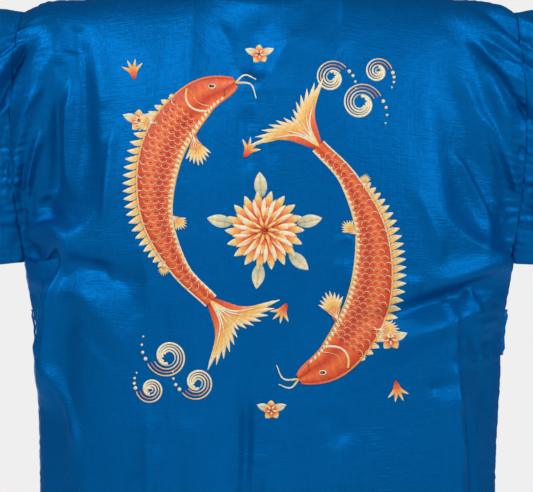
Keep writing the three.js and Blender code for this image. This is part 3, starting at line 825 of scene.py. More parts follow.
def grid_faces(rows, columns):
    """The faces of a grid of points, as (point, next along, next both, next across)."""
    at = np.arange(rows * columns).reshape(rows, columns)
    corners = (at[:-1, :-1], at[1:, :-1], at[1:, 1:], at[:-1, 1:])
    return np.stack([corner.ravel() for corner in corners], axis=-1)


# Belt loops: a doubled ribbon between two heights, sewn down at both ends. Between them it stands off the
# side seam and turns towards the back. Each pair is its value at the ends and between them.
LOOP_TOP = -386
LOOP_FOOT = -441
LOOP_HALF = 3.3
LOOP_CLOTH = 1.0
LOOP_OFF = {LEFT: (1.0, 2.0), RIGHT: (1.5, 3.2)}
LOOP_BACK = {LEFT: (1.0, 1.0), RIGHT: (2.0, 3.2)}
LOOP_TURN = {LEFT: (14, 26), RIGHT: (42, 72)}
LOOP_ENDS = 9
LOOP_ROWS = 44
LOOP_COLUMNS = 8
LOOP_EDGE = 0.45

# Their tacks and the painted shadow line: distances of the line's rows from the inner edge, where near black
# thread stands for the shade in the gap beside the loop, and of the bars from the ends, the bars' reach in
# half widths of the ribbon, and how far out the stitches lie, in thicknesses of it
SHADOW_LINE_INSETS = (0.4, 0.8, 1.2)
LOOP_BARS = (0.7, 1.3, 1.9, 2.5)
BAR_REACH = 2
BAR_POINTS = 9
BAR_OUT = 0.55
SHADOW_LINE_OUT = 0.42

# Their pull on the side seams, as depth, height and width, and the crinkles, as rise, length and slant
LOOP_PULL = (4.2, 32, 42)
LOOP_CRINKLES = ((0.2, 9.5, 0.35), (0.35, 16.0, -0.25))


def loop_middle(seam, hand, z):
    """The middle line of a belt loop at the heights z, with the ways across and out of its ribbon."""
    side = np.interp(-z, -seam[:, 2], seam[:, 0] * hand)
    free = smooth(0, LOOP_ENDS, np.minimum(LOOP_TOP - z, z - LOOP_FOOT))
    ranges = (LOOP_OFF[hand], LOOP_BACK[hand], LOOP_TURN[hand])
    off, back, turn = (mix(low, high, free) for low, high in ranges)
    angle = np.radians(turn)
    flat = 0 * z
    middle = np.stack([hand * (side + off), back, z], axis=-1)
    out = np.stack([hand * np.cos(angle), np.sin(angle), flat], axis=-1)
    across = np.stack([-hand * np.sin(angle), np.cos(angle), flat], axis=-1)
    return middle, across, out


def belt_loop(name, seam, hand, material):
    """The ribbon of a belt loop, thinner at its edges."""
    z = np.linspace(LOOP_TOP, LOOP_FOOT, LOOP_ROWS)
    middle, across, out = loop_middle(seam, hand, z)
    share = np.linspace(-1, 1, LOOP_COLUMNS + 1)
    points = middle[:, None] + across[:, None] * (share * LOOP_HALF)[None, :, None]
    normals = np.repeat(out[:, None], len(share), axis=1)
    if hand == LEFT:
        points, normals = points[:, ::-1], normals[:, ::-1]
    ribbon = SimpleNamespace(points=points, normals=normals)
    thickness = LOOP_CLOTH * (LOOP_EDGE + (1 - LOOP_EDGE) * np.sqrt(1 - share**2))
    return thick_band(name, ribbon, thickness[None, :], material)


def loop_tacks_and_shadow_line(name, seam, hand, material):
    """Bars of close stitches across both ends of a belt loop, and a line of them down its inner edge. The
    line's near black thread is a painted shadow of the gap beside the loop.
    """
    rows = []
    bars = (*(LOOP_TOP - down for down in LOOP_BARS), *(LOOP_FOOT + up for up in LOOP_BARS))
    for z in bars:
        middle, across, out = (a[0] for a in loop_middle(seam, hand, np.array([float(z)])))
        share = np.linspace(-BAR_REACH, BAR_REACH, BAR_POINTS)[:, None]
        bar = middle + across * share * LOOP_HALF + out * LOOP_CLOTH * BAR_OUT
        rows.append((bar, np.tile(out, (BAR_POINTS, 1))))
    z = np.linspace(LOOP_TOP, LOOP_FOOT, LOOP_ROWS)
    middle, across, out = loop_middle(seam, hand, z)
    # These rows down the inner edge, in near black thread, are a painted shadow of the gap beside the loop
    for inset in SHADOW_LINE_INSETS:
        rows.append((middle + across * (LOOP_HALF - inset) + out * LOOP_CLOTH * SHADOW_LINE_OUT, out))
    return stitch_rows(name, rows, material)


# Topstitching: the distance between stitches, the length, half width and rise of each, and the part of
# its rise by which its ends sink in
STITCH_STEP = 3.0
STITCH_LONG = 2.3
STITCH_HALF = 0.3
STITCH_RISE = 0.4
STITCH_SINK = 3


def read_line(spots, run, values):
    """The values of a line's points at spots along it, where run holds each point's own place."""
    return np.stack([np.interp(spots, run, column) for column in values.T], axis=-1)


def stitch_rows(name, rows, material):
    """Stitches along rows of points, each row with its normals."""
    tops, lefts, rights, starts, ends = [], [], [], [], []
    for points, normals in rows:
        run = arc_lengths(points, 0)
        spots = np.arange(STITCH_STEP, run[-1] - STITCH_STEP, STITCH_STEP)
        shifts = (0, -STITCH_LONG / 2, STITCH_LONG / 2)
        middle, start, end = (read_line(spots + shift, run, points) for shift in shifts)
        out = unit(read_line(spots, run, normals))
        side = unit(np.cross(out, end - start)) * STITCH_HALF
        tops.append(middle + out * STITCH_RISE)
        lefts.append(middle + side)
        rights.append(middle - side)
        starts.append(start - out * STITCH_RISE / STITCH_SINK)
        ends.append(end - out * STITCH_RISE / STITCH_SINK)
    corners = [np.concatenate(parts) for parts in (tops, lefts, rights, starts, ends)]
    n = len(corners[0])
    top, left, right, start, end = (np.arange(n) + k * n for k in range(5))
    faces = [(top, start, right), (top, right, end), (top, end, left), (top, left, start)]
    faces = np.concatenate([np.stack(face, axis=-1) for face in faces])
    points = np.concatenate(corners)
    return make_object(name, points, faces, {"thread": points[:, [0, 2]] * MM}, [material])


# The embroidery is drawn flat, in millimetres from its middle and as seen from behind: u to the right, v up.
# The cloth under it is read on an even grid, from behind. EDGE_LIFT is how far off it the shapes' edges lie.
GROUND_STEP = 2.5
GROUND_HALF = np.array([180.0, 235.0])
RAYS_FROM_Y = 400
EDGE_LIFT = 0.15


def design_ground(back, middle):
    """How far back the cloth lies under each spot of the grid."""
    rows, columns = back.points.shape[:2]
    tree = BVHTree.FromPolygons(back.points.reshape(-1, 3).tolist(), grid_faces(rows, columns).tolist())
    u, v = (np.arange(-half, half + 1, GROUND_STEP) for half in GROUND_HALF)
    towards = Vector((0, -1, 0))
    starts = [[Vector((middle[0] - a, RAYS_FROM_Y, middle[1] + b)) for b in v] for a in u]
    return np.array([[tree.ray_cast(start, towards)[0].y for start in line] for line in starts])


# Points for each stop of a curve, before they are spaced evenly
CURVE_STEPS = 24


def curve(stops, n):
    """A smooth line of n evenly spaced points through the stops."""
    p = np.array(stops, float)
    p = np.concatenate([[2 * p[0] - p[1]], p, [2 * p[-1] - p[-2]]])
    t = np.linspace(0, len(stops) - 1, CURVE_STEPS * len(stops))
    k = np.minimum(t.astype(int), len(stops) - 2)
    f = (t - k)[:, None]
    a, b, c, d = p[k], p[k + 1], p[k + 2], p[k + 3]
    bend = (2 * a - 5 * b + 4 * c - d) * f**2
    line = 0.5 * (2 * b + (c - a) * f + bend + (3 * b - a - 3 * c + d) * f**3)
    run = arc_lengths(line, 0)
    even = np.linspace(0, run[-1], n)
    return read_line(even, run, line)


def turned(direction, degrees):
    """A direction of the design, turned to the left."""
    angle = math.radians(degrees)
    u, v = direction
    return np.array([u * math.cos(angle) - v * math.sin(angle), u * math.sin(angle) + v * math.cos(angle)])


# Width of a petal's ends as a share of its own, the shift of its widest part, and how far a fan's outer
# rays bow and its middle one rises
PETAL_ENDS = 0.06
PETAL_SHIFT = 0.8
FAN_BEND = 0.16
FAN_RISE = 0.3


class Stitching:
    """Raised shapes of thread on the back's cloth, collected into one piece."""

    def __init__(self, ground, middle):
        self.ground = ground
        self.middle = middle
        self.points = []
        self.faces = []
        self.layers = {"thread": [], "shade": []}
        self.parts = []
        self.count = 0

    def laid(self, spots, lift):
        """The points over spots of the design, raised by lift from the cloth."""
        place = (spots + GROUND_HALF) / GROUND_STEP
        cell = np.clip(place.astype(int), 0, np.array(self.ground.shape) - 2)
        (i, j), (s, t) = np.moveaxis(cell, -1, 0), np.moveaxis(place - cell, -1, 0)
        a, b, c, d = (self.ground[i + m, j + n] for m, n in ((0, 0), (1, 0), (0, 1), (1, 1)))
        y = mix(mix(a, b, s), mix(c, d, s), t)
        out = unit(np.stack([mix(b - a, d - c, t), 0 * y + GROUND_STEP, mix(a - c, b - d, s)], axis=-1))
        cloth_at = np.stack([self.middle[0] - spots[..., 0], y, self.middle[1] + spots[..., 1]], axis=-1)
        return cloth_at + out * lift[..., None]

    def strip(self, line, half, part, lift=0.9, across=4):
        """A rounded band along a line, half wide to each side. Its stitches run across it."""
        along = unit(np.gradient(line, axis=0))
        side = np.stack([-along[:, 1], along[:, 0]], axis=-1)
        share = np.linspace(-1, 1, across + 1)[None, :]
        off = share * np.broadcast_to(half, len(line))[:, None]
        spots = line[:, None] + side[:, None] * off[..., None]
        rise = mix(EDGE_LIFT, lift, np.sqrt(1 - share**2)) + 0 * off
        run = arc_lengths(line, 0)[:, None] + 0 * off
        self.points.append(self.laid(spots, rise).reshape(-1, 3))
        uvs = {"thread": (run * MM, off * MM), "shade": (run / run[-1], (share + 1) / 2 + 0 * off)}
        for layer, uv in uvs.items():
            self.layers[layer].append(np.stack(uv, axis=-1).reshape(-1, 2))
        faces = grid_faces(len(line), across + 1)
        self.faces.append(faces + self.count)
        self.parts += [part] * len(faces)
        self.count += off.size

    def petal(self, root, tip, wide, part, bend=0.0, lift=1.1, blunt=0.7, n=10):
        """A leaf or petal shape, widest in its middle and bowed by bend times its length."""
        root, tip = np.array(root, float), np.array(tip, float)
        sideways = np.array([root[1] - tip[1], tip[0] - root[0]]) * bend
        line = curve([root, (root + tip) / 2 + sideways, tip], n)
        t = np.linspace(0, 1, n)
        half = wide / 2 * mix(PETAL_ENDS, 1, np.sin(math.pi * t**PETAL_SHIFT) ** blunt)
        self.strip(line, half, part, lift)

    def dot(self, centre, radius, part, lift=1.6):
        """A round knot."""
        t = np.cos(np.linspace(math.pi, 0, 9))
        line = np.array(centre) + np.stack([t * radius, 0 * t], axis=-1)
        self.strip(line, radius * np.sqrt(np.maximum(1 - t**2, 0.01)), part, lift)

    def arc(self, centre, along, radius, half, part, lift, spread=80, n=9):
        """A narrow arc that bulges towards along."""
        angles = np.linspace(-spread, spread, n)
        line = np.array([np.array(centre) + turned(along, angle) * radius for angle in angles])
        self.strip(line, half, part, lift, across=2)

    def fan(self, root, along, spread, rays, lengths, wide, part, lift=1.2):
        """Rays spread evenly about a direction. lengths holds the outer and the middle rays' length."""
        for angle in np.linspace(-spread, spread, rays):
            outer = abs(angle) / spread
            tip = root + turned(along, angle) * mix(lengths[1], lengths[0], outer)
            rise = lift + FAN_RISE * (1 - outer)
            self.petal(root, tip, wide, part, bend=-FAN_BEND * angle / spread, lift=rise)

    def make(self, name, threads):
        """All the shapes so far, as one object."""
        layers = {layer: np.concatenate(uvs) for layer, uvs in self.layers.items()}
        points, faces = np.concatenate(self.points), np.concatenate(self.faces)
        return make_object(name, points, faces, layers, threads, self.parts)


# Threads of the embroidery, by the number of their material
FLESH, FLAME, ORANGE, GOLD, CREAM, SAGE, BLACK = range(7)

# Half width of a fish from its nose (0) to the root of its tail (1)
FISH_SHAPE = (
    (0, 5),
    (0.03, 11),
    (0.1, 18),
    (0.2, 23.5),
    (0.34, 25.5),
    (0.5, 22.5),
    (0.68, 16),
    (0.86, 9.5),
    (1, 8),
)

# Points along the middle of each fish, from its nose to the root of its tail
FISH_SPINES = {
    "left": ((-34, 172), (-78, 152), (-118, 96), (-126, 22), (-100, -42), (-62, -82)),
    "right": ((40, -172), (84, -146), (120, -84), (124, -6), (98, 58), (62, 98)),
}

# Points worked out along a fish and along its shape, the lift of its body, the place of its gill, and its
# scales: first and last place, distance, distance of their rows in distances, gap to the edge, and radius
FISH_POINTS = 110
FISH_SHAPE_POINTS = 120
BODY_LIFT = 2.2
HEAD_SHARE = 0.19
SCALES_FROM = HEAD_SHARE + 0.02
SCALES_TO = 0.985
SCALE_PITCH = 8.6
SCALE_ROWS = 0.82
SCALE_GAP = 4.2
SCALE_RADIUS = 4.7

# Fans of the tail: how far before its root they start, spread, rays, lengths, width, thread and lift
TAIL_FANS = ((6, 44, 13, (84, 52), 9, FLAME, 1.2), (4, 36, 6, (58, 34), 3, CREAM, 2.1))

# Rays along the back, where they start and over what share of the fish they run. Each row gives the first
# and last place, the number, the root's place across, lean, shortest and longest reach, roundness of the
# row, width, thread, bow and lift.
BACK_RAYS_FROM = 0.2
BACK_RAYS_LONG = 0.6
BACK_RAYS = (
    (0.2, 0.8, 26, -0.9, -62, (7, 20), 0.6, 6.5, GOLD, 0.12, 1.1),
    (0.21, 0.79, 25, -0.92, -60, (5, 13), 1, 2.4, SAGE, 0.1, 1.9),
)

# The other fins: place along the spine, place across it in half widths, lean and reach
FINS = ((0.25, 0.7, 52, 46), (0.3, -0.6, -64, 34), (0.62, 0.75, 40, 28), (0.78, -0.7, -38, 20))

# The gill's two lines: place of the middle, bow, reach across in half widths, half width of the line,
# thread, lift and faces across
GILL_LINES = (
    (HEAD_SHARE, 0.035, 0.82, 1.9, CREAM, 3.2, 4),
    (HEAD_SHARE - 0.03, 0.03, 0.72, 1.0, GOLD, 3.0, 2),
)


def stitch_fish(work, stops):
    """A carp along its spine, with its back to the right of the way from nose to tail."""
    line = curve(stops, FISH_POINTS)
    shape = curve(FISH_SHAPE, FISH_SHAPE_POINTS)
    share = np.linspace(0, 1, FISH_POINTS)
    half = np.interp(share, shape[:, 0], shape[:, 1])
    along = unit(np.gradient(line, axis=0))
    side = np.stack([-along[:, 1], along[:, 0]], axis=-1)
    length = arc_lengths(line, 0)[-1]

    def at(s, w):
        """The spot at share s of the spine, w of the half width to the left, and the way along there."""
        return read_line(s, share, line + side * (half * w)[:, None]), read_line(s, share, along)

    end, way = at(1, 0)
    for before, spread, rays, lengths, wide, part, lift in TAIL_FANS:
        work.fan(end - way * before, way, spread, rays, lengths, wide, part, lift)
    for first, last, rays, w, lean, reach, roundness, wide, part, bend, lift in BACK_RAYS:
        for s in np.linspace(first, last, rays):
            root, way = at(s, w)
            longer = max(0, math.sin(math.pi * (s - BACK_RAYS_FROM) / BACK_RAYS_LONG)) ** roundness
            work.petal(root, root + turned(way, lean) * mix(*reach, longer), wide, part, bend, lift)
    for s, w, lean, reach in FINS:
        root, way = at(s, w)
        work.fan(root, turned(way, lean), 24, 8, (reach * 0.8, reach), reach * 0.15, FLAME, lift=1.6)
        work.fan(root, turned(way, lean), 20, 5, (reach * 0.5, reach * 0.6), 1.8, CREAM, lift=2.4)
    work.strip(line, half, FLESH, lift=BODY_LIFT, across=16)
    for k, s in enumerate(np.arange(SCALES_FROM, SCALES_TO, SCALE_PITCH * SCALE_ROWS / length)):
        wide = np.interp(s, share, half)
        row = np.arange(-4, 5) * SCALE_PITCH + (SCALE_PITCH / 2 if k % 2 else 0)
        for off in row[np.abs(row) < wide - SCALE_GAP]:
            spot, way = at(s, off / wide)
            dome = BODY_LIFT * math.sqrt(1 - (off / wide) ** 2)
            work.arc(spot, way, SCALE_RADIUS, 0.95, CREAM, dome + 0.7)
            work.dot(spot + way * 0.9, 1.1, BLACK, dome + 0.4)
    for s in np.linspace(0.06, 0.97, 44):
        root, tip = at(s, 0.74)[0], at(s + 0.008, 0.99)[0]
        work.petal(root, tip, 4.4, CREAM, lift=2.0, blunt=0.35, n=6)
    for w in (-0.985, 0.985):
        work.strip(line + side * (half * w)[:, None], 1.25, GOLD, lift=1.9, across=2)
    for place, bow, tall, wide, part, lift, across in GILL_LINES:
        gill = np.array([at(place - bow * t * t, tall * t)[0] for t in np.linspace(-1, 1, 19)])
        work.strip(gill, wide, part, lift, across)
    eye, way = at(0.085, -0.28)
    work.dot(eye, 4.6, CREAM, lift=3.1)
    work.dot(eye, 3.0, BLACK, lift=3.9)
    work.dot(eye + way * -0.8, 0.8, CREAM, lift=4.4)
    mouth = curve([at(s, w)[0] for s, w in ((0.05, 0.85), (0.045, 0.3), (0.002, 0.1))], 9)
    work.strip(mouth, 0.9, BLACK, lift=2.6, across=2)
    nose, way = at(0, 0)
    for lean, reach in ((150, 30), (196, 24)):
        middle = nose + turned(way, lean) * reach * 0.6
        tip = middle + turned(way, lean - 62) * reach * 0.6
        work.strip(curve([nose, middle, tip], 14), np.linspace(1.3, 0.5, 14), CREAM, lift=1.4, across=2)


# Rings of petals of the large flower, from the outside in: number of petals, where they start and end,
# width, turn of the first one, thread and lift
FLOWER_RINGS = (
    (18, 16, 46, 10.5, 0, FLAME, 1.2),
    (18, 12, 38, 7.5, 10, CREAM, 1.9),
    (14, 7, 28, 7.5, 5, FLAME, 2.6),
    (10, 3, 17, 5.5, 0, GOLD, 3.2),
)
FLOWER_KNOTS = 7

# Turns of the leaves round the large flower, and where they start and how long they are
LEAF_TURNS = (12, 95, 168, 262, 318)
LEAF_FROM = 38
LEAF_LONG = 30


def stitch_flower(work, centre, rings, size):
    """A many-petalled flower with a knotted middle."""
    centre = np.array(centre, float)
    for petals, low, high, wide, start, part, lift in rings:
        for k in range(petals):
            way = turned((1, 0), start + 360 * k / petals)
            root, tip = (centre + way * reach * size for reach in (low, high))
            work.petal(root, tip, wide * size, part, bend=0.05, lift=lift)
    for k in range(FLOWER_KNOTS):
        way = turned((1, 0), 360 * k / FLOWER_KNOTS) * (3.2 * size if k else 0)
        work.dot(centre + way, 1.7 * size, ORANGE, lift=4.0)


def stitch_leaf(work, root, turn, reach):
    """A leaf of two halves with a vein between them."""
    root = np.array(root, float)
    way = turned((1, 0), turn)
    tip = root + way * reach
    for bend in (0.12, -0.12):
        work.petal(root, tip, reach * 0.26, SAGE, bend=bend)
    work.strip(curve([root, (root + tip) / 2, tip], 8), 0.6, GOLD, lift=1.7, across=2)


# Curls of water, as the middle, the size, the turn, and 1 or -1 for its hand, and their bands, as thread
# and half width
WATER = (
    (-112, -146, 25, 200, 1),
    (-78, -176, 21, 215, 1),
    (-132, -184, 17, 190, 1),
    (112, 148, 25, 20, 1),
    (78, 178, 21, 35, 1),
    (132, 186, 17, 10, 1),
)
CURL_BANDS = ((CREAM, 1.7), (GOLD, 1.2), (CREAM, 1.5), (SAGE, 1.2))
CURL_POINTS = 46


def stitch_curl(work, u, v, size, turn, hand):
    """A curl of water: bands that roll up together, and drops off its crest."""
    for k, (part, half) in enumerate(CURL_BANDS):
        angles = np.linspace(0, 430 - 40 * k, CURL_POINTS)
        reach = size * (1 - angles / 640) - 4.2 * k * (1 - angles / 900)
        line = np.array([(u, v) + turned((1, 0), turn + hand * a) * r for a, r in zip(angles, reach)])
        work.strip(line, np.linspace(half * 0.35, half, CURL_POINTS), part, lift=1.2, across=3)
    for k in range(4):
        spot = np.array([u, v]) + turned((1, 0), turn - hand * (14 + 15 * k)) * size * (1.05 + 0.14 * k)
        work.dot(spot, 2.2 - 0.35 * k, CREAM)


# Small flowers and sprays of petals, as place and size, and place and turn
BLOSSOMS = ((-146, 128, 0.34), (146, -126, 0.34), (-6, 206, 0.3), (8, -208, 0.3))
BLOSSOM_RINGS = ((5, 4, 38, 30, 90, FLAME, 1.2), (5, 3, 20, 10, 126, CREAM, 2.0))
BLOSSOM_LEAF_TURNS = (20, 160)
BLOSSOM_LEAF = 60
SPRAYS = ((-152, 176, 100), (152, -174, 280), (-24, 84, 60), (26, -84, 240))


class RobeSatin(bpy.types.PropertyGroup):
    """Colours and finish of the satin"""

    blue: colour_property("Blue", "Colour of the satin", (0.0006, 0.112, 0.352))
    deep: colour_property("Deep blue", "Colour of the satin in its darker streaks", (0.0004, 0.086, 0.282))
    roughness: FloatProperty(
        name="Roughness", description="Softness of the sheen", default=0.48, subtype="FACTOR", min=0, max=1
    )


def add(tree, kind, inputs=None, output=None, **settings):
    """Adds a shader node and gives its output. An input is a value or another node's output."""
    node = tree.nodes.new(kind)
    for name, value in settings.items():
        setattr(node, name, value)
    for name, value in (inputs or {}).items():
        socket = next(s for s in node.inputs if s.enabled and s.name == name)
        feed(tree, socket, value)
    return next(s for s in node.outputs if s.enabled and output in (None, s.name))


def feed(tree, socket, value):
    """Sets a socket to a value, or links it to another node's output."""
    if isinstance(value, bpy.types.NodeSocket):
        tree.links.new(value, socket)
    else:
        socket.default_value = value


def dress_shader(tree, shader, values):
    """Feeds a shader's sockets, by name."""
    for name, value in values.items():
        feed(tree, shader.inputs[name], value)


def bumps(tree, height, strength, distance, **below):
    """A surface raised by a height. below may name the normal that it stands on."""
    settings = {"Strength": strength, "Distance": distance, "Height": height}
    return add(tree, "ShaderNodeBump", {**settings, **below})


def ramp(tree, amount, stops):
    """Turns an amount into a colour, through (amount, colour) stops."""
    colour = add(tree, "ShaderNodeValToRGB", {"Fac": amount})
    elements = colour.node.color_ramp.elements
    while len(elements) < len(stops):
        elements.new(0.5)
    for element, (position, shade) in zip(elements, stops):
        element.position = position
        element.color = (*shade, 1)
    return colour


def noise(tree, place, scale, detail=2.0):
    """Noise with its own scale along each axis, per metre."""
    stretched = add(tree, "ShaderNodeMapping", {"Vector": place, "Scale": scale})
    return add(tree, "ShaderNodeTexNoise", {"Vector": stretched, "Scale": 1.0, "Detail": detail})


def new_material(name, finish):
    """A material whose shader has the constants in finish."""
    material = bpy.data.materials.new(name)
    material.use_nodes = True
    shader = material.node_tree.nodes["Principled BSDF"]
    for socket, value in finish.items():
        shader.inputs[socket].default_value = value
    return material, material.node_tree, shader


ROUGHNESS_SPREAD = 0.08
SATIN_FINISH = {
    "Metallic": 0.58,
    "Anisotropic": 0.45,
    "Specular IOR Level": 0.05,
    "Specular Tint": (0.04, 0.66, 1.0, 1),
    "Sheen Weight": 0.03,
    "Sheen Roughness": 0.4,
    "Sheen Tint": (0.2, 0.5, 1.0, 1),
}


def blue_thread(name, dark):
    """Sewing thread, darker than the satin."""
    made = bpy.data.materials.get(name)
    if made:
        return made
    material, tree, shader = new_material(name, {"Roughness": 0.5, "Sheen Weight": 0.1})
    place = add(tree, "ShaderNodeUVMap", uv_map="thread")
    twist = noise(tree, place, (1500, 1500, 1), 1.0)
    deep = bpy.context.scene.robe_satin.deep
    shades = [tuple(dark * share * part for part in deep) for share in (1, 1.4)]
    colour = ramp(tree, twist, [(0.3, shades[0]), (0.7, shades[1])])
    dress_shader(tree, shader, {"Base Color": colour, "Normal": bumps(tree, twist, 0.5, 0.0003)})
    return material


def satin(name, blue, deep, roughness):
    """Woven satin: fine warp streaks, slow changes of shade, and a soft sheen along the thread."""
    material, tree, shader = new_material(name, SATIN_FINISH)
    thread = add(tree, "ShaderNodeUVMap", uv_map="thread")
    place = add(tree, "ShaderNodeTexCoord", output="Object")
    warp = noise(tree, thread, (640, 26, 1), 3.0)
    weft = noise(tree, thread, (34, 560, 1), 3.0)
    crinkle = noise(tree, place, (130, 60, 110), 4.0)
    clouds = noise(tree, place, (9, 9, 9), 3.0)
    fine, cross, slow = (ramp(tree, tone, [(0.3, deep), (0.7, blue)]) for tone in (warp, weft, clouds))
    threads = add(tree, "ShaderNodeMix", {"Factor": 0.5, "A": fine, "B": cross}, data_type="RGBA")
    shade = add(tree, "ShaderNodeMix", {"Factor": 0.35, "A": threads, "B": slow}, data_type="RGBA")
    ends = {"To Min": roughness - ROUGHNESS_SPREAD, "To Max": roughness + ROUGHNESS_SPREAD}
    rough = add(tree, "ShaderNodeMapRange", {"Value": weft, **ends})
    grain = bumps(tree, warp, 0.6, 0.0006)
    grain = bumps(tree, weft, 0.6, 0.0009, Normal=grain)
    grain = bumps(tree, crinkle, 0.6, 0.0012, Normal=grain)
    tangent = add(tree, "ShaderNodeTangent", direction_type="UV_MAP", uv_map="thread")
    values = {"Base Color": shade, "Roughness": rough, "Normal": grain, "Tangent": tangent}
    dress_shader(tree, shader, values)
    return material


class RobeDesign(bpy.types.PropertyGroup):
    """Place and colours of the embroidery on the back"""

    middle_x: length_property("Middle", "Sideways place of the design's middle", 0.004)
    middle_z: length_property("Height", "Height of the design's middle", -0.292)
    red: colour_property("Red", "Darkest thread", (0.50, 0.036, 0.010))
    orange: colour_property("Orange", "Middle thread", (0.74, 0.135, 0.035))
    gold: colour_property("Gold", "Yellow thread", (0.78, 0.46, 0.12))
    cream: colour_property("Cream", "Palest thread", (0.76, 0.68, 0.47))
    sage: colour_property("Sage", "Grey-green thread", (0.37, 0.40, 0.26))


THREAD_FINISH = {
    "Specular IOR Level": 0.32,
    "Sheen Weight": 0.05,
    "Sheen Roughness": 0.4,
    "Anisotropic": 0.4,
}


def thread(name, stops, axis):
    """Embroidery thread, a ridge for each stitch. Its colour runs along (X) or across (Y) each shape."""
    material, tree, shader = new_material(name, THREAD_FINISH)
    place = add(tree, "ShaderNodeUVMap", uv_map="thread")
    share = add(tree, "ShaderNodeUVMap", uv_map="shade")
    share = add(tree, "ShaderNodeSeparateXYZ", {"Vector": share}, output=axis)
    stitches = noise(tree, place, (1100, 50, 1), 1.0)
    tone = noise(tree, place, (260, 120, 1), 2.0)
    ragged = add(tree, "ShaderNodeMix", {"Factor": 0.22, "A": share, "B": stitches}, data_type="FLOAT")
    colour = ramp(tree, ragged, stops)
    ends = {"From Min": 0.3, "From Max": 0.7, "To Min": 0.82, "To Max": 1.1}
    bright = add(tree, "ShaderNodeMapRange", {"Value": tone, **ends})
    colour = add(tree, "ShaderNodeHueSaturation", {"Color": colour, "Value": bright})
    rough = add(tree, "ShaderNodeMapRange", {"Value": stitches, "To Min": 0.34, "To Max": 0.56})
    ridge = bumps(tree, stitches, 0.7, 0.0006)
    dress_shader(tree, shader, {"Base Color": colour, "Roughness": rough, "Normal": ridge})
    return material


def embroidery_threads():
    """The threads in the order of their numbers."""
    own = bpy.context.scene.robe_design
    red, orange, gold, cream, sage = (tuple(c) for c in (own.red, own.orange, own.gold, own.cream, own.sage))
    black = (0.012, 0.011, 0.012)
    finishes = (
        ("thread_body", [(0.14, red), (0.4, orange), (0.62, red), (0.8, orange), (0.9, gold)], "Y"),
        ("thread_flame", [(0.16, red), (0.42, orange), (0.66, gold), (0.84, cream)], "X"),
        ("thread_orange", [(0.3, red), (0.7, orange)], "Y"),
        ("thread_gold", [(0.15, orange), (0.4, gold), (0.85, cream)], "X"),
        ("thread_cream", [(0.2, gold), (0.42, cream), (0.8, cream)], "X"),
        ("thread_sage", [(0.2, sage), (0.8, cream)], "X"),
        ("thread_black", [(0.3, black), (0.7, (0.03, 0.026, 0.026))], "Y"),
    )
    return [bpy.data.materials.get(name) or thread(name, stops, axis) for name, stops, axis in finishes]


class RobeStage(bpy.types.PropertyGroup):
    """Camera and lights"""

    camera_distance: length_property("Camera distance", "From the robe's middle to the camera", 3.0)
    picture_width: length_property("Picture width", "Width of what the picture shows", 0.640)
    picture_x: length_property("Picture centre", "Sideways place of the picture's centre", 0.0018)
    picture_z: length_property("Picture height", "Height of the picture's centre", -0.310)
    floor_z: length_property("Floor", "Height of the floor under the robe", -1.42)


# How much darker or paler than the satin the neckband, the ribbons and the two threads are. The ribbons'
# paler satin is a painted highlight, and the tack thread's near black is partly a painted shadow along each
# loop's inner edge
BAND_SHADE = 0.93
RIBBON_PAINTED_HIGHLIGHT = 1.2
THREAD_SHADE = 0.7
TACK_AND_SHADOW_LINE_SHADE = 0.14

cloth = {}


def robe_cloth():
    """The folded cloth, worked out once for all the operators."""
    if not cloth:
        cloth.update(cut_and_fold(millimetres(bpy.context.scene.robe_cut)))
    return cloth


def woven_satin(name="woven_satin", shade=1.0):
    """The satin, or a copy of it made darker or paler by shade; the belt loops' paler copy is a painted
    highlight.
    """
    finish = bpy.context.scene.robe_satin
    blue, deep = (tuple(shade * part for part in colour) for colour in (finish.blue, finish.deep))
    return bpy.data.materials.get(name) or satin(name, blue, deep, finish.roughness)


def sew_on(name, rows):
    """Adds rows of topstitching to the robe."""
    piece = stitch_rows(name, rows, blue_thread("sewing_thread", THREAD_SHADE))
    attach(piece, "root")


def row_above(piece, up):
    """The row of a piece's points nearest to a distance above its last row, with its normals."""
    off = arc_lengths(piece.points[::-1], 0).mean(axis=1)
    k = len(off) - 1 - int(np.searchsorted(off, up))
    points, normals = piece.points[k], piece.normals[k]
    if piece.closed:
        points, normals = (np.concatenate([a, a[:1]]) for a in (points, normals))
    return points, normals


# Flat size and area of each piece's cut, in metres and square metres
BACK_CUT = ((0.76, 1.26), 0.86)
FRONT_CUT = ((0.33, 1.27), 0.34)
SLEEVE_CUT = ((0.68, 0.43), 0.29)
BAND_CUT = ((0.048, 2.74), 0.13)


def dress(piece, node, slot, flat, area, hangs_from):
    """Puts a piece of cloth in place of a node."""
    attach(piece, "root")
    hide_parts(node)


class ROBE_OT_back(bpy.types.Operator):
    """Makes the back"""

    bl_idname = "robe.back"
    bl_label = "Back"

    def execute(self, context):
        piece = single_layer("back_cloth", robe_cloth()["back"], woven_satin())
        dress(piece, "back", "satin", *BACK_CUT, ["neckband"])
        sew_on("hem_stitches", [row_above(robe_cloth()[name], HEM_STITCH) for name in BODY_PIECES])
        return {"FINISHED"}


class ROBE_OT_fronts(bpy.types.Operator):
    """Makes the two fronts"""

    bl_idname = "robe.fronts"
    bl_label = "Fronts"

    def execute(self, context):
        for node in BODY_PIECES[1:]:
            piece = single_layer(node + "_cloth", robe_cloth()[node], woven_satin())
            dress(piece, node, "satin", *FRONT_CUT, ["neckband"])
        return {"FINISHED"}


class ROBE_OT_sleeves(bpy.types.Operator):
    """Makes the two sleeves"""

    bl_idname = "robe.sleeves"
    bl_label = "Sleeves"

    def execute(self, context):
        for node in SLEEVES:
            piece = single_layer(node + "_cloth", robe_cloth()[node], woven_satin())
            dress(piece, node, "satin", *SLEEVE_CUT, ["back"])
        sew_on("cuff_stitches", [row_above(robe_cloth()[name], HEM_STITCH) for name in SLEEVES])
        return {"FINISHED"}


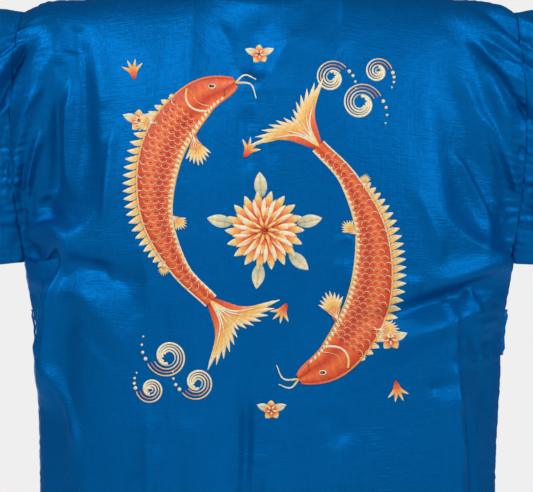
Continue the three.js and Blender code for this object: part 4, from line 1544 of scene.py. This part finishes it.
class ROBE_OT_neckband(bpy.types.Operator):
    """Makes the doubled neckband, rounded at its fold"""

    bl_idname = "robe.neckband"
    bl_label = "Neckband"

    def execute(self, context):
        cut = millimetres(context.scene.robe_cut)
        across = np.linspace(0, 1, BAND_COLUMNS + 1)
        towards_fold = np.clip((across - BAND_ROUND_FROM) / BAND_ROUND_LONG, 0, 1)
        round_edge = BAND_FOLD_SHARE + (1 - BAND_FOLD_SHARE) * np.sqrt(1 - towards_fold**2)
        thickness = cut.band_cloth * round_edge[None, :]
        band = robe_cloth()["neckband"]
        piece = thick_band("neckband_cloth", band, thickness, woven_satin("neckband_satin", BAND_SHADE))
        dress(piece, "neckband", "neckband", *BAND_CUT, ["back"])
        outside = band.points + band.normals * thickness[..., None] / 2
        sew_on("neckband_stitches", [(outside[:, k], band.normals[:, k]) for k in BAND_STITCHES])
        return {"FINISHED"}


class ROBE_OT_belt_loops(bpy.types.Operator):
    """Makes the belt loops on the side seams"""

    bl_idname = "robe.belt_loops"
    bl_label = "Belt loops"

    def execute(self, context):
        back = robe_cloth()["back"]
        for hand, node, column in ((RIGHT, "belt_loop_right", 0), (LEFT, "belt_loop_left", -1)):
            seam = back.points[:, column]
            # The ribbon's satin is paler than the robe's: a painted highlight for the light that it catches
            piece = belt_loop(node + "_ribbon", seam, hand, woven_satin("ribbon_satin_painted_highlight", RIBBON_PAINTED_HIGHLIGHT))
            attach(piece, "root")
            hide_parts(node)
            # Near black thread: the bars are the loop's tacks, and the line down its inner edge is a painted
            # shadow
            tacks_and_shadow_line = loop_tacks_and_shadow_line(node + "_tacks_and_shadow_line", seam, hand, blue_thread("tack_and_painted_shadow_thread", TACK_AND_SHADOW_LINE_SHADE))
            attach(tacks_and_shadow_line, "root")
        return {"FINISHED"}


class ROBE_OT_embroidery(bpy.types.Operator):
    """Makes the embroidered carp, flowers and water on the back"""

    bl_idname = "robe.embroidery"
    bl_label = "Embroidery"

    def execute(self, context):
        own = millimetres(context.scene.robe_design, ("middle_x", "middle_z"))
        middle = (own.middle_x, own.middle_z)
        ground = design_ground(robe_cloth()["back"], middle)
        works = {f"embroidery_carp_{side}": Stitching(ground, middle) for side in FISH_SPINES}
        for work, spine in zip(works.values(), FISH_SPINES.values()):
            stitch_fish(work, spine)
        flowers = works["embroidery_flowers"] = Stitching(ground, middle)
        for turn in LEAF_TURNS:
            stitch_leaf(flowers, turned((1, 0), turn) * LEAF_FROM, turn, LEAF_LONG)
        stitch_flower(flowers, (0, 0), FLOWER_RINGS, 1)
        for u, v, size in BLOSSOMS:
            for turn in BLOSSOM_LEAF_TURNS:
                stitch_leaf(flowers, (u, v), turn, BLOSSOM_LEAF * size)
            stitch_flower(flowers, (u, v), BLOSSOM_RINGS, size)
        water = works["embroidery_water"] = Stitching(ground, middle)
        for row in WATER:
            stitch_curl(water, *row)
        for u, v, turn in SPRAYS:
            water.fan(np.array([u, v], float), turned((1, 0), turn), 34, 4, (22, 27), 4.5, FLAME)
        for name, work in works.items():
            piece = work.make(name, embroidery_threads())
            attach(piece, "root")
        return {"FINISHED"}


# The stage: the backdrop's colour as seen and as light, the lights, as name, place, the spot that each
# looks at, size and watts, the floor's reach, finish and tones, and the width of the camera's sensor
BACKDROP_SEEN = (0.87, 0.86, 0.86, 1)
BACKDROP_LIGHT = (0.12, 0.135, 0.15, 1)
LIGHTS = (
    ("key", (1.5, 1.9, 1.6), (0, 0, -0.3), 1.0, 62),
    ("fill", (-2.0, 1.7, 0.9), (0, 0, -0.35), 0.9, 42),
    ("low", (0.6, 2.9, -0.5), (0, 0, -0.4), 1.0, 7),
    ("front", (0.6, -2.4, -0.1), (0, 0, -0.5), 1.4, 44),
)
FLOOR_REACH = 6000
FLOOR_FINISH = {"Roughness": 0.8, "Emission Color": (1, 0.985, 0.97, 1), "Emission Strength": 0.55}
FLOOR_TONES = [(0.3, (0.34, 0.34, 0.34)), (0.7, (0.37, 0.37, 0.37))]
SENSOR_WIDTH = 36


class ROBE_OT_stage(bpy.types.Operator):
    """Makes the floor, the backdrop, the lights and the camera"""

    bl_idname = "robe.stage"
    bl_label = "Stage"

    def execute(self, context):
        stage = context.scene.robe_stage
        scene = context.scene
        world = bpy.data.worlds.new("studio")
        world.use_nodes = True
        tree = world.node_tree
        seen = add(tree, "ShaderNodeBackground", {"Color": BACKDROP_SEEN})
        shed = add(tree, "ShaderNodeBackground", {"Color": BACKDROP_LIGHT})
        direct = add(tree, "ShaderNodeLightPath", output="Is Camera Ray")
        light = add(tree, "ShaderNodeMixShader", {"Fac": direct})
        feed(tree, light.node.inputs[1], shed)
        feed(tree, light.node.inputs[2], seen)
        feed(tree, tree.nodes["World Output"].inputs["Surface"], light)
        scene.world = world
        scene.view_settings.view_transform = "Standard"
        pale_floor()
        for row in LIGHTS:
            softbox(*row)
        camera = bpy.data.cameras.new("camera")
        camera.sensor_width = SENSOR_WIDTH
        camera.lens = camera.sensor_width * stage.camera_distance / stage.picture_width
        seat = bpy.data.objects.new("camera", camera)
        seat.location = (stage.picture_x, stage.camera_distance, stage.picture_z)
        seat.rotation_euler = (math.pi / 2, 0, math.pi)
        scene.collection.objects.link(seat)
        scene.camera = seat
        return {"FINISHED"}


def softbox(name, place, aim, size, watts):
    """A square light that looks towards aim."""
    light = bpy.data.lights.new(name, "AREA")
    light.shape = "SQUARE"
    light.size = size
    light.energy = watts
    lamp = bpy.data.objects.new(name, light)
    lamp.location = place
    lamp.rotation_euler = (Vector(aim) - Vector(place)).to_track_quat("-Z", "Y").to_euler()
    bpy.context.scene.collection.objects.link(lamp)


def pale_floor():
    """The floor under the robe."""
    floor_z = bpy.context.scene.robe_stage.floor_z / MM
    signs = ((-1, -1), (1, -1), (1, 1), (-1, 1))
    corners = [(x * FLOOR_REACH, y * FLOOR_REACH, floor_z) for x, y in signs]
    material, tree, shader = new_material("pale_floor", FLOOR_FINISH)
    place = add(tree, "ShaderNodeTexCoord", output="Object")
    tones = ramp(tree, noise(tree, place, (2, 2, 2)), FLOOR_TONES)
    feed(tree, shader.inputs["Base Color"], tones)
    floor = make_object("floor", corners, [(0, 1, 2, 3)], materials=[material])


class ROBE_PT_panel(bpy.types.Panel):
    """Lists the robe's operators and its main sizes"""

    bl_idname = "ROBE_PT_panel"
    bl_label = "Satin robe"
    bl_space_type = "VIEW_3D"
    bl_region_type = "UI"
    bl_category = "Robe"

    def draw(self, context):
        column = self.layout.column()
        for operator in OPERATORS:
            column.operator(operator.bl_idname)
        for group, names in SHOWN.items():
            for name in names:
                column.prop(getattr(context.scene, group), name)


OPERATORS = (
    ROBE_OT_back,
    ROBE_OT_fronts,
    ROBE_OT_sleeves,
    ROBE_OT_neckband,
    ROBE_OT_belt_loops,
    ROBE_OT_embroidery,
    ROBE_OT_stage,
)

# Properties that the panel shows, by group
SHOWN = {"robe_cut": ("hem_z", "cuff_x"), "robe_satin": ("blue",)}

# The groups, by their names in the scene
GROUPS = {"robe_cut": RobeCut, "robe_satin": RobeSatin, "robe_design": RobeDesign, "robe_stage": RobeStage}
CLASSES = (*GROUPS.values(), *OPERATORS, ROBE_PT_panel)


def register():
    for each in CLASSES:
        bpy.utils.register_class(each)
    for name, group in GROUPS.items():
        setattr(bpy.types.Scene, name, PointerProperty(type=group))


def unregister():
    for name in GROUPS:
        delattr(bpy.types.Scene, name)
    for each in reversed(CLASSES):
        bpy.utils.unregister_class(each)


def main():
    register()
    bpy.ops.robe.back()
    bpy.ops.robe.fronts()
    bpy.ops.robe.sleeves()
    bpy.ops.robe.neckband()
    bpy.ops.robe.belt_loops()
    bpy.ops.robe.embroidery()
    bpy.ops.robe.stage()


if __name__ == "__main__":
    main()
